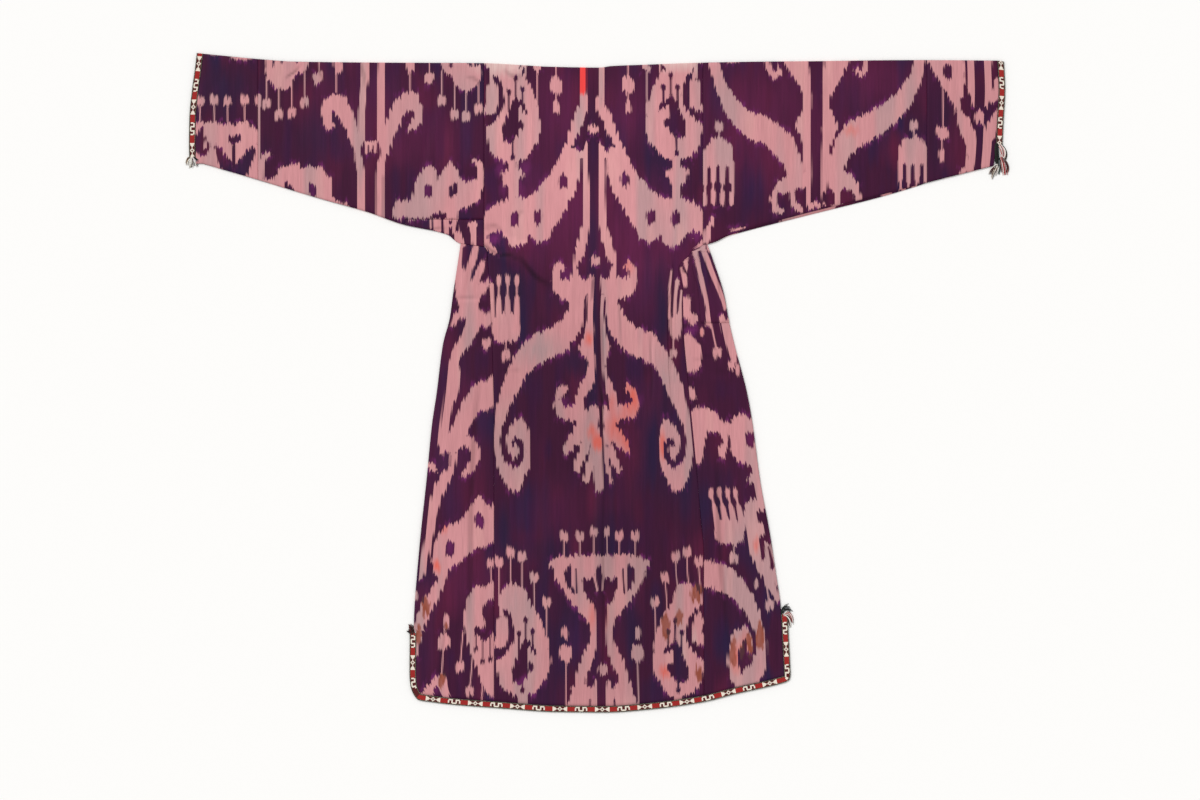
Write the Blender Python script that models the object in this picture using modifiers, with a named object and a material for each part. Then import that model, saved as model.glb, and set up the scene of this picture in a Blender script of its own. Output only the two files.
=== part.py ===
"""A Central Asian ikat robe laid flat, back side up, as a Blender model.

The robe lies on z = 0 with its fronts down. +Y runs to the shoulders, +X to the right hand
sleeve as it is seen from above, and the origin is the middle of the robe on the surface.

Tables are in millimetres. "drop" is the distance down from the highest point of the shoulder
line, "x" the distance from the robe's middle. Each cut piece is an open surface on these
tables with a Solidify modifier, and tassels are blocks with strands drawn out of one face.
"""

import math

import bmesh
import bpy
import numpy as np
from mathutils import Matrix

MM = 0.001

# Cloth and layers
CLOTH = 1.5            # wall of the silk and cotton cloth with its lining
TRIM = 1.8             # wall of the woven edging
SEAM_GAP = 0.4         # between two pieces where they are sewn
LAYER_GAP = 0.3        # between the fronts' edging and the back's
BACK_LEVEL = TRIM + LAYER_GAP
TOP_LEVEL = BACK_LEVEL + CLOTH
FOLD_RADIUS = TOP_LEVEL / 2
FOLD_STEPS = 6         # segments round a folded edge
FOLD_LIP = 4.0         # how far the back's cloth runs on under the shoulder fold
TRIM_WIDTH = 13.0

# Overall
LENGTH = 1320.0        # shoulder to hem
TOP_Y = LENGTH / 2
ARMPIT = 384.0         # drop of the underarm seams
HEM_LEVEL = 1300.0     # the hem's drop before its curve is added
HEM_CURVE_FROM = 1104.0
FRONT_INSET = 2.5      # the fronts lie this far inside the back's outline
CENTRE_FRONT = 2.0
FRONT_EDGE_GAP = 2.4   # between the edgings of the two fronts

SHOULDER = (           # the folded top edge, sleeve end to sleeve end
    ("x", "drop"),
    (-801, 0), (-665, 13), (-606, 17), (-425, 19), (-235, 20), (-152, 24), (-103, 27),
    (5, 29), (27, 26), (101, 23), (215, 19), (325, 17), (443, 16), (621, 14), (799, 15),
    (813, 17),
)
UNDERARM_LEFT = (      # lower edge of the left sleeve, cuff to body
    ("x", "drop"),
    (-790, 221), (-681, 253), (-559, 290), (-460, 318), (-389, 343), (-301, 363),
    (-277, 380), (-227, 388), (-215, 392),
)
UNDERARM_RIGHT = (     # lower edge of the right sleeve, body to cuff
    ("x", "drop"),
    (205, 385), (229, 380), (265, 364), (403, 324), (573, 282), (652, 261), (731, 241),
    (799, 224), (813, 221),
)
CUFFS = (              # outer edges of the cuff edgings
    ("drop", "left", "right"),
    (0, -801.5, 812), (17, -803.5, 813), (33, -805.5, 814), (73, -811, 815.5),
    (132, -816.5, 812.5), (184, -817.3, 810), (224, -816, 806),
)
ARMHOLES = (-227.0, 211.0)
SEAMS = (              # armholes, then the seams between centre panel and side gores
    ("drop", "left", "right"),
    (0, *ARMHOLES), (ARMPIT, *ARMHOLES), (396, -220.5, 189), (408, -220, 181),
    (420, -219.5, 167), (432, -218.5, 162), (474, -215.5, 170.5), (548, -212, 172),
    (656, -208.5, 181), (732, -207, 188.5), (814, -207, 196.5), (934, -207, 207),
    (1008, -207, 213), (1320, -207, 213),
)
SIDES = (              # side seams, then the edges of the cloth beside the slits
    ("drop", "left", "right"),
    (376, -273, 217), (417, -279, 232), (483, -289, 253), (530, -295.5, 261.5),
    (582, -309, 273.5), (682, -322, 299.5), (742, -331, 310), (854, -342, 325),
    (960, -353.5, 344.5), (1042, -361, 357), (1104, -365.8, 366), (1150, -367.4, 368.5),
    (1160, -362.5, 369), (1240, -363, 373), (1262, -361.5, 374), (1276, -357, 374.5),
    (1290, -347, 375),
)
HEM = (                # lower edge of the cloth, above its edging
    ("x", "drop"),
    (-363, 1281), (-292, 1290), (-189, 1298), (-85, 1305), (17, 1306), (103, 1300),
    (206, 1286), (275, 1269), (343, 1254), (373, 1246),
)
NECKLINE = (           # cut edges of the fronts, from the shoulder to the centre
    ("drop", "left", "right"),
    (30, -150, 100), (110, -120, 82), (200, -80, 58), (280, -36, 34), (330, -14, 19),
)
FRONT_EDGE_FROM = 360.0

# Cut lengths along the body where every panel has a row of points
STATIONS = (20, 38, 60, 110, 160, 210, 260, 300, 330, 360, ARMPIT, 396, 408, 420, 432, 452, 474,
            500, 524, 548, 582, 620, 656, 694, 732, 773, 814, 874, 934, 971, 1008, 1056,
            1104, 1122, 1150, 1160, 1200, 1240, 1266, 1286, 1300)

# The tuck that takes in the back beside the right underarm
TUCK = (
    ("drop", "x", "rise"),
    (0, 150, 0), (408, 149, 0), (440, 148, 2.6), (533, 138, 3.0), (610, 139.5, 2.6),
    (670, 143, 1.2), (740, 150, 0), (1320, 160, 0),
)
TUCK_RUN = 3.0

# Soft ridges pressed into the upper layer, each from a point to a point
RIDGES = (
    ("x0", "drop0", "x1", "drop1", "half_width", "rise"),
    (-232, 380, -92, 462, 22, 2.0),
    (4, 680, 10, 1290, 15, 1.5),
    (192, 394, 236, 560, 8, 1.5),
    (208, 392, 262, 536, 8, 1.8),
    (-262, 384, -276, 520, 9, 1.4),
    (-243, 388, -249, 500, 8, 1.4),
    (-322, 330, -270, 150, 26, 1.2),
    (300, 330, 252, 150, 26, 1.2),
)
CREASE_COLUMNS = (0.575, 0.59, 0.605, 0.62)

SLIT_TOPS = (1159.0, 1121.0)     # upper ends of the edging at the left and right slits

SLEEVE_SEAMS = (-679.0, 659.0)   # where the cuff pieces join the sleeves
GUSSET_FROM = -385.0
GUSSET_DROP = 333.0
LOWER_LAYER_SHOWS = (265.0, 655.0, 5.0)  # below the right sleeve's seam: from x, to x, by

PATCH = 1.0            # wall of the pieced top of the right gore
PATCH_FROM_COLUMN = 3
PATCH_RISE_AT_SIDE = 0.6         # how far its foot climbs towards the row above

CUFF_TRIM_ENDS = (210.0, 184.0)  # lower ends of the edging on the left and right cuffs

# Tassels: the seat of each head on its edge, the way it faces, anticlockwise from +X in
# degrees, and the turn of its first and last strand from there
TASSELS = (
    ("name", "x", "drop", "facing", "first", "last", "length", "across", "layers", "pitch"),
    ("tassel_cuff_left", -810.5, CUFF_TRIM_ENDS[0], 270, -27, 3, 16, 7, 2, 1.25),
    ("tassel_cuff_right", 805, CUFF_TRIM_ENDS[1], 270, 0, 16, 50, 9, 3, 1.25),
    ("tassel_cuff_right_small", 789, 226.7, 284, -34, 1, 18, 6, 2, 1.2),
    ("tassel_slit_left", -367.2, 1146, 178, -40, 22, 9, 5, 2, 1.2),
    ("tassel_slit_right", 366.3, 1108.5, 3, -34, 36, 19, 9, 3, 1.0),
)
STRAND_STEPS = 3
STRAND_TAPER = 0.86
STRAND_INSET = 0.14    # share of the pitch left free on each side of a strand
UNEVEN = 0.22          # how much shorter the shortest strand is
HEAD_DEPTH = 2.5
TASSEL_LIFT = 0.4

COLOURS = {
    "plum": (0.10, 0.022, 0.045),
    "rose": (0.55, 0.25, 0.22),
    "red": (0.36, 0.02, 0.02),
    "thread": (0.30, 0.26, 0.22),
}


def column(table, name):
    """One named column of a table whose first row holds the names."""
    place = table[0].index(name)
    return np.array([row[place] for row in table[1:]], dtype=float)


def smooth(xs, ys, at):
    """Cubic through the points (xs, ys) that never runs past them between two points."""
    at = np.clip(np.asarray(at, dtype=float), xs[0], xs[-1])
    span = np.diff(xs)
    slope = np.diff(ys) / span
    tangent = np.concatenate((slope[:1], np.zeros(len(xs) - 2), slope[-1:]))
    turn = slope[:-1] * slope[1:] > 0
    both = np.where(turn, slope[:-1] + slope[1:], 1.0)
    tangent[1:-1] = np.where(turn, 2 * slope[:-1] * slope[1:] / both, 0.0)
    i = np.clip(np.searchsorted(xs, at, side="right") - 1, 0, len(xs) - 2)
    t = (at - xs[i]) / span[i]
    return ((1 + 2 * t) * (1 - t) ** 2 * ys[i] + t * (1 - t) ** 2 * span[i] * tangent[i]
            + t * t * (3 - 2 * t) * ys[i + 1] + t * t * (t - 1) * span[i] * tangent[i + 1])


def read(table, key, value):
    """A function that reads one column of a table against another."""
    return lambda at: smooth(column(table, key), column(table, value), at)


shoulder = read(SHOULDER, "x", "drop")
hem = read(HEM, "x", "drop")
seam_left = read(SEAMS, "drop", "left")
seam_right = read(SEAMS, "drop", "right")
side_left = read(SIDES, "drop", "left")
side_right = read(SIDES, "drop", "right")
underarm_left = read(UNDERARM_LEFT, "x", "drop")
underarm_right = read(UNDERARM_RIGHT, "x", "drop")
cuff_left = read(CUFFS, "drop", "left")
cuff_right = read(CUFFS, "drop", "right")
tuck_line = read(TUCK, "drop", "x")
tuck_rise = read(TUCK, "drop", "rise")


def shifted(line, by):
    """The same line moved by a distance."""
    return lambda at: line(at) + by


def front_edge(side):
    """Cut edge of one front: the neckline, then straight down beside the centre."""
    reach = TRIM_WIDTH + SEAM_GAP + FRONT_EDGE_GAP / 2
    straight = CENTRE_FRONT + (-reach if side == "left" else reach)
    drops = np.append(column(NECKLINE, "drop"), (FRONT_EDGE_FROM, LENGTH))
    xs = np.append(column(NECKLINE, side), (straight, straight))
    return lambda at: smooth(drops, xs, at)


def ridges(x, drop):
    """Rise of the pressed ridges at each point, 0 away from them."""
    rise = np.zeros_like(x)
    for x0, drop0, x1, drop1, half_width, height in RIDGES[1:]:
        run = np.array((x1 - x0, drop1 - drop0), dtype=float)
        long = math.hypot(*run)
        along = ((x - x0) * run[0] + (drop - drop0) * run[1]) / long ** 2
        across = np.abs((x - x0) * run[1] - (drop - drop0) * run[0]) / long
        ends = np.sin(math.pi * np.clip(along, 0, 1)) ** 0.7
        rise = np.maximum(rise, height * ends * np.clip(1 - (across / half_width) ** 2, 0, 1) ** 2)
    return rise


def station_drop(x, station):
    """Drop of a station at x: the stations near the ends follow the shoulder and the hem."""
    start = shoulder(x) + FOLD_RADIUS
    upper = start + (station - STATIONS[0]) * (ARMPIT - start) / (ARMPIT - STATIONS[0])
    share = (station - HEM_CURVE_FROM) / (HEM_LEVEL - HEM_CURVE_FROM)
    lower = station + (hem(x) - HEM_LEVEL) * share
    return np.where(station < ARMPIT, upper, np.where(station > HEM_CURVE_FROM, lower, station))


def panel(left, right, across, stations, top=None, hem_inset=0.0):
    """Grid of (x, drop): columns run from left to right, rows follow the stations."""
    u = np.asarray(across, dtype=float)[:, None]
    station = np.broadcast_to(np.asarray(stations, dtype=float), (len(u), len(stations)))
    drop = station
    for _ in range(4):
        x = left(drop) + (right(drop) - left(drop)) * u
        drop = station_drop(x, station)
        if hem_inset:
            share = np.clip((station - HEM_CURVE_FROM) / (HEM_LEVEL - HEM_CURVE_FROM), 0, 1)
            drop = drop - hem_inset * share
        if top is not None:
            drop = drop.copy()
            drop[:, 0] = top(x[:, 0])
    return x, drop


def rectangle(left, right, top, bottom, across, along):
    """Grid of (x, drop) between two side lines and two end lines."""
    u = np.asarray(across, dtype=float)[:, None]
    v = np.asarray(along, dtype=float)[None, :]
    drop = np.full((len(u), v.shape[1]), 200.0)
    for _ in range(6):
        x = left(drop) + (right(drop) - left(drop)) * u
        drop = top(x) + (bottom(x) - top(x)) * v
    return x, drop


def folded(upper, lower, rise, sense=1, level=TOP_LEVEL):
    """Section round a fold: the lower layer up to the fold, the fold, the upper layer.

    upper and lower are grids of (x, drop) whose first rows lie one radius from the fold,
    and rise lifts the upper one. sense is 1 where the cloth runs down from the fold and -1
    where it runs up from it.
    """
    radius = level / 2
    angle = np.linspace(-math.pi / 2, math.pi / 2, FOLD_STEPS + 1)[None, 1:-1]
    x_low, drop_low = (part[:, ::-1] for part in lower)
    x_up, drop_up = upper
    x_arc = np.repeat(x_up[:, :1], angle.shape[1], axis=1)
    drop_arc = drop_up[:, :1] - sense * radius * np.cos(angle)
    z_arc = np.broadcast_to(radius + radius * np.sin(angle), x_arc.shape)
    x = np.concatenate((x_low, x_arc, x_up), axis=1)
    drop = np.concatenate((drop_low, drop_arc, drop_up), axis=1)
    z = np.concatenate((np.zeros_like(x_low), z_arc, level + rise), axis=1)
    return x, drop, z


def surface(name, x, drop, z, wall, outward, colour):
    """Closed wall on a grid of points. outward is 1 if the grid is its upper or outer face."""
    columns, rows = x.shape
    data = bpy.data.meshes.new(name)
    shape = bmesh.new()
    bmesh.ops.create_grid(shape, x_segments=columns - 1, y_segments=rows - 1, size=1.0)
    shape.verts.ensure_lookup_table()
    corners = np.array([corner.co for corner in shape.verts])
    i = np.rint((corners[:, 0] + 1) / 2 * (columns - 1)).astype(int)
    k = np.rint((1 - corners[:, 1]) / 2 * (rows - 1)).astype(int)
    points = np.stack((x[i, k], TOP_Y - drop[i, k], z[i, k]), axis=1) * MM
    shape.to_mesh(data)
    shape.free()
    data.vertices.foreach_set("co", points.ravel())
    data.update()
    made = add_object(name, data, colour)
    shell = made.modifiers.new("wall", "SOLIDIFY")
    shell.thickness = wall * MM
    shell.offset = -outward
    shell.use_even_offset = True
    return made


def add_object(name, data, colour):
    """Object for a mesh, in the robe's collection, with its own material."""
    paint = bpy.data.materials.new(name)
    paint.use_nodes = True
    shader = paint.node_tree.nodes["Principled BSDF"]
    shader.inputs["Base Color"].default_value = (*COLOURS[colour], 1)
    shader.inputs["Roughness"].default_value = 0.7
    data.materials.append(paint)
    data.shade_smooth()
    data.set_sharp_from_angle(angle=math.radians(40))
    made = bpy.data.objects.new(name, data)
    bpy.data.collections["chapan_robe"].objects.link(made)
    return made


def back_panel():
    """Centre back, one loom width, with the shoulder fold and the tuck beside the right gore."""
    left = shifted(seam_left, SEAM_GAP / 2)
    right = shifted(seam_right, -SEAM_GAP / 2)
    across = np.unique(np.append(np.linspace(0, 1, 15), CREASE_COLUMNS))
    x_main, drop_main = panel(left, tuck_line, across, STATIONS)
    x_side, drop_side = panel(shifted(tuck_line, TUCK_RUN), right, (0, 0.5, 1), STATIONS)
    x = np.concatenate((x_main, x_side))
    drop = np.concatenate((drop_main, drop_side))
    climb = np.append(across ** 3, np.zeros(3))[:, None]
    rise = ridges(x, drop) + tuck_rise(drop) * climb
    lip = np.array((0, FOLD_LIP / 2, FOLD_LIP))[None, :]
    lower = np.repeat(x[:, :1], 3, axis=1), drop[:, :1] + lip
    surface("back_panel", *folded((x, drop), lower, rise), CLOTH, 1, "plum")
    return x, drop


def front_panel(side):
    """Half width under the back, cut along the neckline and down the centre."""
    top = shifted(shoulder, FOLD_RADIUS + FOLD_LIP + SEAM_GAP)
    edges = {
        "left": (shifted(seam_left, SEAM_GAP / 2), front_edge("left")),
        "right": (front_edge("right"), shifted(seam_right, -SEAM_GAP / 2)),
    }
    across = np.linspace(0, 1, 6)
    x, drop = panel(*edges[side], across, STATIONS, top, FRONT_INSET)
    surface(f"front_panel_{side}", x, drop, np.zeros_like(x), CLOTH, -1, "plum")
    return x, drop


def gore(layer, side):
    """Side gore from the underarm to the hem, for the back or for a front."""
    stations = STATIONS[STATIONS.index(ARMPIT):]
    half = SEAM_GAP / 2
    inset = FRONT_INSET if layer == "front" else 0.0
    edges = {
        "left": (shifted(side_left, inset), shifted(seam_left, -half), underarm_left),
        "right": (shifted(seam_right, half), shifted(side_right, -inset), underarm_right),
    }
    left, right, top = edges[side]
    x, drop = panel(left, right, np.linspace(0, 1, 9), stations, shifted(top, SEAM_GAP), inset)
    if layer == "back":
        z = TOP_LEVEL + ridges(x, drop)
    else:
        z = np.zeros_like(x)
    surface(f"gore_{layer}_{side}", x, drop, z, CLOTH, 1 if layer == "back" else -1, "plum")
    return x, drop


def gore_patch(grid):
    """Pieced top of the right gore, on the gore's own points moved out."""
    rows = slice(1, STATIONS.index(548) - STATIONS.index(ARMPIT) + 1)
    x, drop = (part[PATCH_FROM_COLUMN:, rows].copy() for part in grid)
    climb = PATCH_RISE_AT_SIDE * np.linspace(0, 1, len(x))
    z = TOP_LEVEL + LAYER_GAP + ridges(x, drop)
    for part in (x, drop, z):
        part[:, -1] += climb * (part[:, -2] - part[:, -1])
    surface("gore_patch_right", x, drop, z, PATCH, -1, "rose")


def sleeve_piece(name, left, right, bottom, across, lower=None, wall=CLOTH, colour="plum"):
    """Flattened tube folded along its top, from one side line to another."""
    level = BACK_LEVEL + wall
    top = shifted(shoulder, level / 2)
    along = np.linspace(0, 1, 9)
    upper = rectangle(left, right, top, bottom, across, along)
    lower = rectangle(left, right, top, lower or bottom, across, along)
    surface(name, *folded(upper, lower, ridges(*upper), level=level), wall, 1, colour)


def fixed(value):
    """A line at one distance."""
    return lambda at: np.full_like(np.asarray(at, dtype=float), value)


def sleeves():
    """Two sleeves, their cuff pieces and the edgings of the cuffs."""
    half = SEAM_GAP / 2

    def left_bottom(x):
        return np.where(x < GUSSET_FROM, underarm_left(x), GUSSET_DROP - half)

    def right_lower(x):
        start, end, by = LOWER_LAYER_SHOWS
        place = np.clip((x - start) / (end - start), 0, 1)
        return underarm_right(x) + by * np.sqrt(np.sin(math.pi * place))

    left_seam, right_seam = SLEEVE_SEAMS
    armhole_left = ARMHOLES[0] - half
    armhole_right = ARMHOLES[1] + half
    gusset_at = (GUSSET_FROM - left_seam) / (armhole_left - left_seam)
    across = np.sort(np.append(np.linspace(0, 1, 13), (gusset_at - 0.002, gusset_at + 1e-6)))
    sleeve_piece("sleeve_left", fixed(left_seam + half), fixed(armhole_left), left_bottom, across)
    sleeve_piece("sleeve_right", fixed(armhole_right), fixed(right_seam - half),
                 underarm_right, np.linspace(0, 1, 14), lower=right_lower)
    few = np.linspace(0, 1, 5)
    inner_left = shifted(cuff_left, TRIM_WIDTH + SEAM_GAP)
    inner_right = shifted(cuff_right, -TRIM_WIDTH - SEAM_GAP)
    sleeve_piece("cuff_piece_left", inner_left, fixed(left_seam - half), underarm_left, few)
    sleeve_piece("cuff_piece_right", fixed(right_seam + half), inner_right, underarm_right, few)
    edge = np.linspace(0, 1, 3)
    end_left, end_right = CUFF_TRIM_ENDS
    sleeve_piece("trim_cuff_left", cuff_left, shifted(cuff_left, TRIM_WIDTH),
                 fixed(end_left), edge, wall=TRIM, colour="red")
    sleeve_piece("trim_cuff_right", shifted(cuff_right, -TRIM_WIDTH), cuff_right,
                 fixed(end_right), edge, wall=TRIM, colour="red")


def gusset():
    """Small underarm gusset of the left sleeve, folded along the sleeve's lower edge."""
    upper_edge = fixed(GUSSET_DROP + SEAM_GAP / 2)
    near_fold = shifted(underarm_left, -FOLD_RADIUS)
    armhole = fixed(ARMHOLES[0] - SEAM_GAP / 2)
    grid = rectangle(fixed(GUSSET_FROM + SEAM_GAP), armhole, near_fold, upper_edge,
                     np.linspace(0, 1, 9), np.linspace(0, 1, 5))
    surface("gusset_left", *folded(grid, grid, ridges(*grid), sense=-1), CLOTH, -1, "plum")


def strip(name, path, level, wall, outward):
    """Edging of even width beside a path of (x, drop), with mitred corners."""
    path = np.array(path, dtype=float)
    run = np.diff(path, axis=0)
    run /= np.linalg.norm(run, axis=1)[:, None]
    side = np.stack((-run[:, 1], run[:, 0]), axis=1)
    before = np.concatenate((side[:1], side))
    after = np.concatenate((side, side[-1:]))
    mitre = (before + after) / (1 + np.sum(before * after, axis=1))[:, None]
    offset = SEAM_GAP + TRIM_WIDTH * np.linspace(0, 1, 3)[None, :, None]
    points = path[:, None, :] + mitre[:, None, :] * offset
    z = np.full(points.shape[:2], level)
    surface(name, points[:, :, 0], points[:, :, 1], z, wall, outward, "red")


def line_points(grid, columns, rows):
    """Points of a grid along one of its edges, as a list of (x, drop)."""
    x, drop = grid
    return list(zip(x[columns, rows].ravel(), drop[columns, rows].ravel()))


def slit_edge(grid, column_at, top):
    """The points of a gore's side edge below the slit's top, downwards."""
    return [point for point in line_points(grid, column_at, slice(None)) if point[1] >= top]


def clean_path(points):
    """The points without those that lie closer than a seam's width to the one before."""
    kept = [points[0]]
    for point in points[1:]:
        if math.dist(point, kept[-1]) > 2 * SEAM_GAP:
            kept.append(point)
    return kept


def body_edgings(back, gores, fronts):
    """Edgings of the slits and hems, and of the fronts' cut edges, on the panels' points."""
    all_columns, last = slice(None), -1
    left_top, right_top = SLIT_TOPS
    path = slit_edge(gores["back", "left"], 0, left_top)
    for grid in (gores["back", "left"], back, gores["back", "right"]):
        path += line_points(grid, all_columns, last)
    path += slit_edge(gores["back", "right"], last, right_top)[::-1]
    strip("trim_back", clean_path(path), TOP_LEVEL, CLOTH, 1)

    below_neck = slice(1, None)
    path = slit_edge(gores["front", "left"], 0, left_top)
    for grid in (gores["front", "left"], fronts["left"]):
        path += line_points(grid, all_columns, last)
    path += line_points(fronts["left"], last, below_neck)[::-1]
    strip("trim_front_left", clean_path(path), 0.0, TRIM, -1)
    path = line_points(fronts["right"], 0, below_neck)
    for grid in (fronts["right"], gores["front", "right"]):
        path += line_points(grid, all_columns, last)
    path += slit_edge(gores["front", "right"], last, right_top)[::-1]
    strip("trim_front_right", clean_path(path), 0.0, TRIM, -1)


def tassel(name, x, drop, facing, first, last, length, across, layers, pitch):
    """A short head on its seat, with strands drawn out of its front face in a fan."""
    shape = bmesh.new()
    bmesh.ops.create_cube(shape, size=1.0)
    size = (HEAD_DEPTH, across * pitch, layers * pitch)
    bmesh.ops.scale(shape, vec=size, verts=shape.verts)
    slice_head(shape, 1, across, size[1])
    slice_head(shape, 2, layers, size[2])
    shape.normal_update()
    roots = [face for face in shape.faces if face.normal.x > 0.9]
    bmesh.ops.inset_individual(shape, faces=roots, thickness=pitch * STRAND_INSET)
    roots.sort(key=lambda face: (round(face.calc_center_median().y, 3),
                                 round(face.calc_center_median().z, 3)))
    for number, root in enumerate(roots):
        turn = first + (last - first) * (number // layers) / (across - 1)
        uneven = 1 - UNEVEN * abs(math.sin(2.1 * number))
        draw_strand(shape, root, math.radians(turn), length * uneven / STRAND_STEPS)
    data = bpy.data.meshes.new(name)
    shape.to_mesh(data)
    shape.free()
    data.transform(Matrix.Scale(MM, 4))
    made = add_object(name, data, "thread")
    heading = math.radians(facing)
    out = LAYER_GAP + HEAD_DEPTH / 2
    centre = (x + out * math.cos(heading), TOP_Y - drop + out * math.sin(heading),
              size[2] / 2 + TASSEL_LIFT)
    made.location = [value * MM for value in centre]
    made.rotation_euler = (0, 0, heading)


def slice_head(shape, axis, count, reach):
    """Cut the head into even slices across one axis."""
    for cut in range(1, count):
        normal = [0.0, 0.0, 0.0]
        normal[axis] = 1.0
        place = [value * (cut / count - 0.5) * reach for value in normal]
        everything = shape.verts[:] + shape.edges[:] + shape.faces[:]
        bmesh.ops.bisect_plane(shape, geom=everything, plane_co=place, plane_no=normal)


def draw_strand(shape, root, turn, step):
    """Draw one face out in steps that turn towards its place in the fan."""
    tip = root
    for number in range(STRAND_STEPS):
        tip = bmesh.ops.extrude_discrete_faces(shape, faces=[tip])["faces"][0]
        heading = turn * (number + 1) / STRAND_STEPS
        move = (step * math.cos(heading), step * math.sin(heading), 0)
        bmesh.ops.translate(shape, vec=move, verts=tip.verts)
        centre = tip.calc_center_median()
        for corner in tip.verts:
            corner.co = centre + (corner.co - centre) * STRAND_TAPER


def main():
    for old in list(bpy.data.objects):
        bpy.data.objects.remove(old, do_unlink=True)
    robe = bpy.data.collections.new("chapan_robe")
    bpy.context.scene.collection.children.link(robe)
    back = back_panel()
    fronts = {side: front_panel(side) for side in ("left", "right")}
    gores = {(layer, side): gore(layer, side)
             for layer in ("back", "front") for side in ("left", "right")}
    gore_patch(gores["back", "right"])
    sleeves()
    gusset()
    body_edgings(back, gores, fronts)
    for row in TASSELS[1:]:
        tassel(*row)


main()
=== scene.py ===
"""Looks of a Central Asian ikat robe laid flat with its back side up.

Every cut piece is a thin surface on the form of its solid. A piece is a grid of two
parameters, from edge to edge and from its top to its foot, whose lines follow the warp of
the cloth. "x" is the distance in millimetres from the robe's middle, "drop" the distance
down from the highest point of the shoulder line, and z the height above the ground.

The resist-dyed figures are drawn on a chart with a 2 mm square. Each warp thread takes its
colour from the chart on its own line, moved up or down a little as tied warps slip.
"""

import math

import bpy
import numpy as np
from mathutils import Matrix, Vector


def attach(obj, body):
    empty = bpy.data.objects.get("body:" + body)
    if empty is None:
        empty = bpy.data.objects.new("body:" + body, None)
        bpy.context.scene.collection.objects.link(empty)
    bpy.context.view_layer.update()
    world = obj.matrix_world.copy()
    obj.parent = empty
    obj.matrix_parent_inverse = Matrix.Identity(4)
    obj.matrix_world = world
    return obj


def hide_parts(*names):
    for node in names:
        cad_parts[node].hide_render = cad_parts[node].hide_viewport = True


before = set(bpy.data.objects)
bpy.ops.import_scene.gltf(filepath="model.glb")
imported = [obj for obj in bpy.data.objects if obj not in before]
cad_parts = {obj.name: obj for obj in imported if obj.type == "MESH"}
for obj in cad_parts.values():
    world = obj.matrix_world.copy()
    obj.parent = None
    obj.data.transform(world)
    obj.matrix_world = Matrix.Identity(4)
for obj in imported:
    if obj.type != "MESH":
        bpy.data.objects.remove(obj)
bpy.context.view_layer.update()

MM = 0.001

# Layers
SILK = 1.2             # wall of the cloth
BAND = 1.4             # wall of the woven edging
SEAM_GAP = 0.16        # between two pieces where they are sewn
SEAM_SINK = 0.3        # how far cloth is drawn down at a seam, and this share of it beside one
BESIDE_SEAM = 0.3
TOP_LEVEL = 3.6        # upper face of the robe
FOLD_RADIUS = TOP_LEVEL / 2
FOLD_STEPS = 6
SLEEVE_FOOT = (0.15, 0.8)      # how far a sleeve's last two rows turn down
TRIM_WIDTH = 13.0
PATCH_WALL = 0.8
PATCH_LEVEL = 4.7
PATCH_EDGE = 0.3       # how far the patch is felled down along its edge
PATCH_FROM = 0.375     # it starts at this share of the gore's width
PATCH_ROWS = (391.0, 547.0)
PATCH_SLANT = 1.2      # how far its last rows rise towards the side

# Overall
LENGTH = 1320.0
TOP_Y = LENGTH / 2
ARMPIT = 384.0
FIRST_STATION = 20.0
HEM_LEVEL = 1300.0
HEM_CURVE_FROM = 1104.0
FRONT_INSET = 2.5
CENTRE_FRONT = 2.0
FRONT_EDGE_GAP = 2.4
FRONT_EDGE_FROM = 360.0
FOLD_LIP = 4.0
SLIT_TOPS = (1159.0, 1121.0)
SLEEVE_SEAMS = (-679.0, 659.0)
ARMHOLES = (-227.0, 211.0)
GUSSET_FROM = -385.0
GUSSET_DROP = 333.0
LOWER_LAYER_SHOWS = (265.0, 655.0, 5.0)        # from, to and by how much, under the sleeve
CUFF_TRIM_FROM = 8.0
CUFF_TRIM_ENDS = (210.0, 184.0)
TUCK_RUN = 2.4

# Mesh: breadth of a column of warp threads and length of a row, in millimetres
FINE = (2.2, 6.5)
PLAIN = (3.4, 8.5)
BEYOND_TUCK = 2.5
SLEEVE_ROW = 5.2
GUSSET_ROW = 4.0
BREADTHS = {           # of the pieces, by which their columns are counted
    "back": 372, "beyond_tuck": 56, "front": 210, "gore": 150, "sleeve_left": 452,
    "sleeve_right": 448, "cuff_piece_left": 122, "cuff_piece_right": 138, "gusset": 158,
}
SLEEVE_HALF_ROUND = 300
GUSSET_HEIGHT = 48

# Seeds of the slipped warp and of the clouds of dye
SEEDS = {
    "back_panel": 11, "front_panel_left": 23, "front_panel_right": 29, "gore_front_left": 31,
    "gore_front_right": 37, "gore_back_left": 41, "gore_back_right": 43, "gore_patch_right": 47,
    "sleeve_left": 53, "sleeve_right": 59, "cuff_piece_left": 61, "cuff_piece_right": 67,
    "gusset_left": 71,
}

ROWS = (               # how much closer the rows lie than FINE and PLAIN, down the body
    ("drop", "close"),
    (20, 1.45), (200, 1.4), (250, 0.9), (420, 1), (600, 1), (640, 0.85), (730, 1), (860, 0.9),
    (890, 0.6), (930, 0.9), (950, 1.35), (1260, 1.35), (1300, 1),
)

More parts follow.
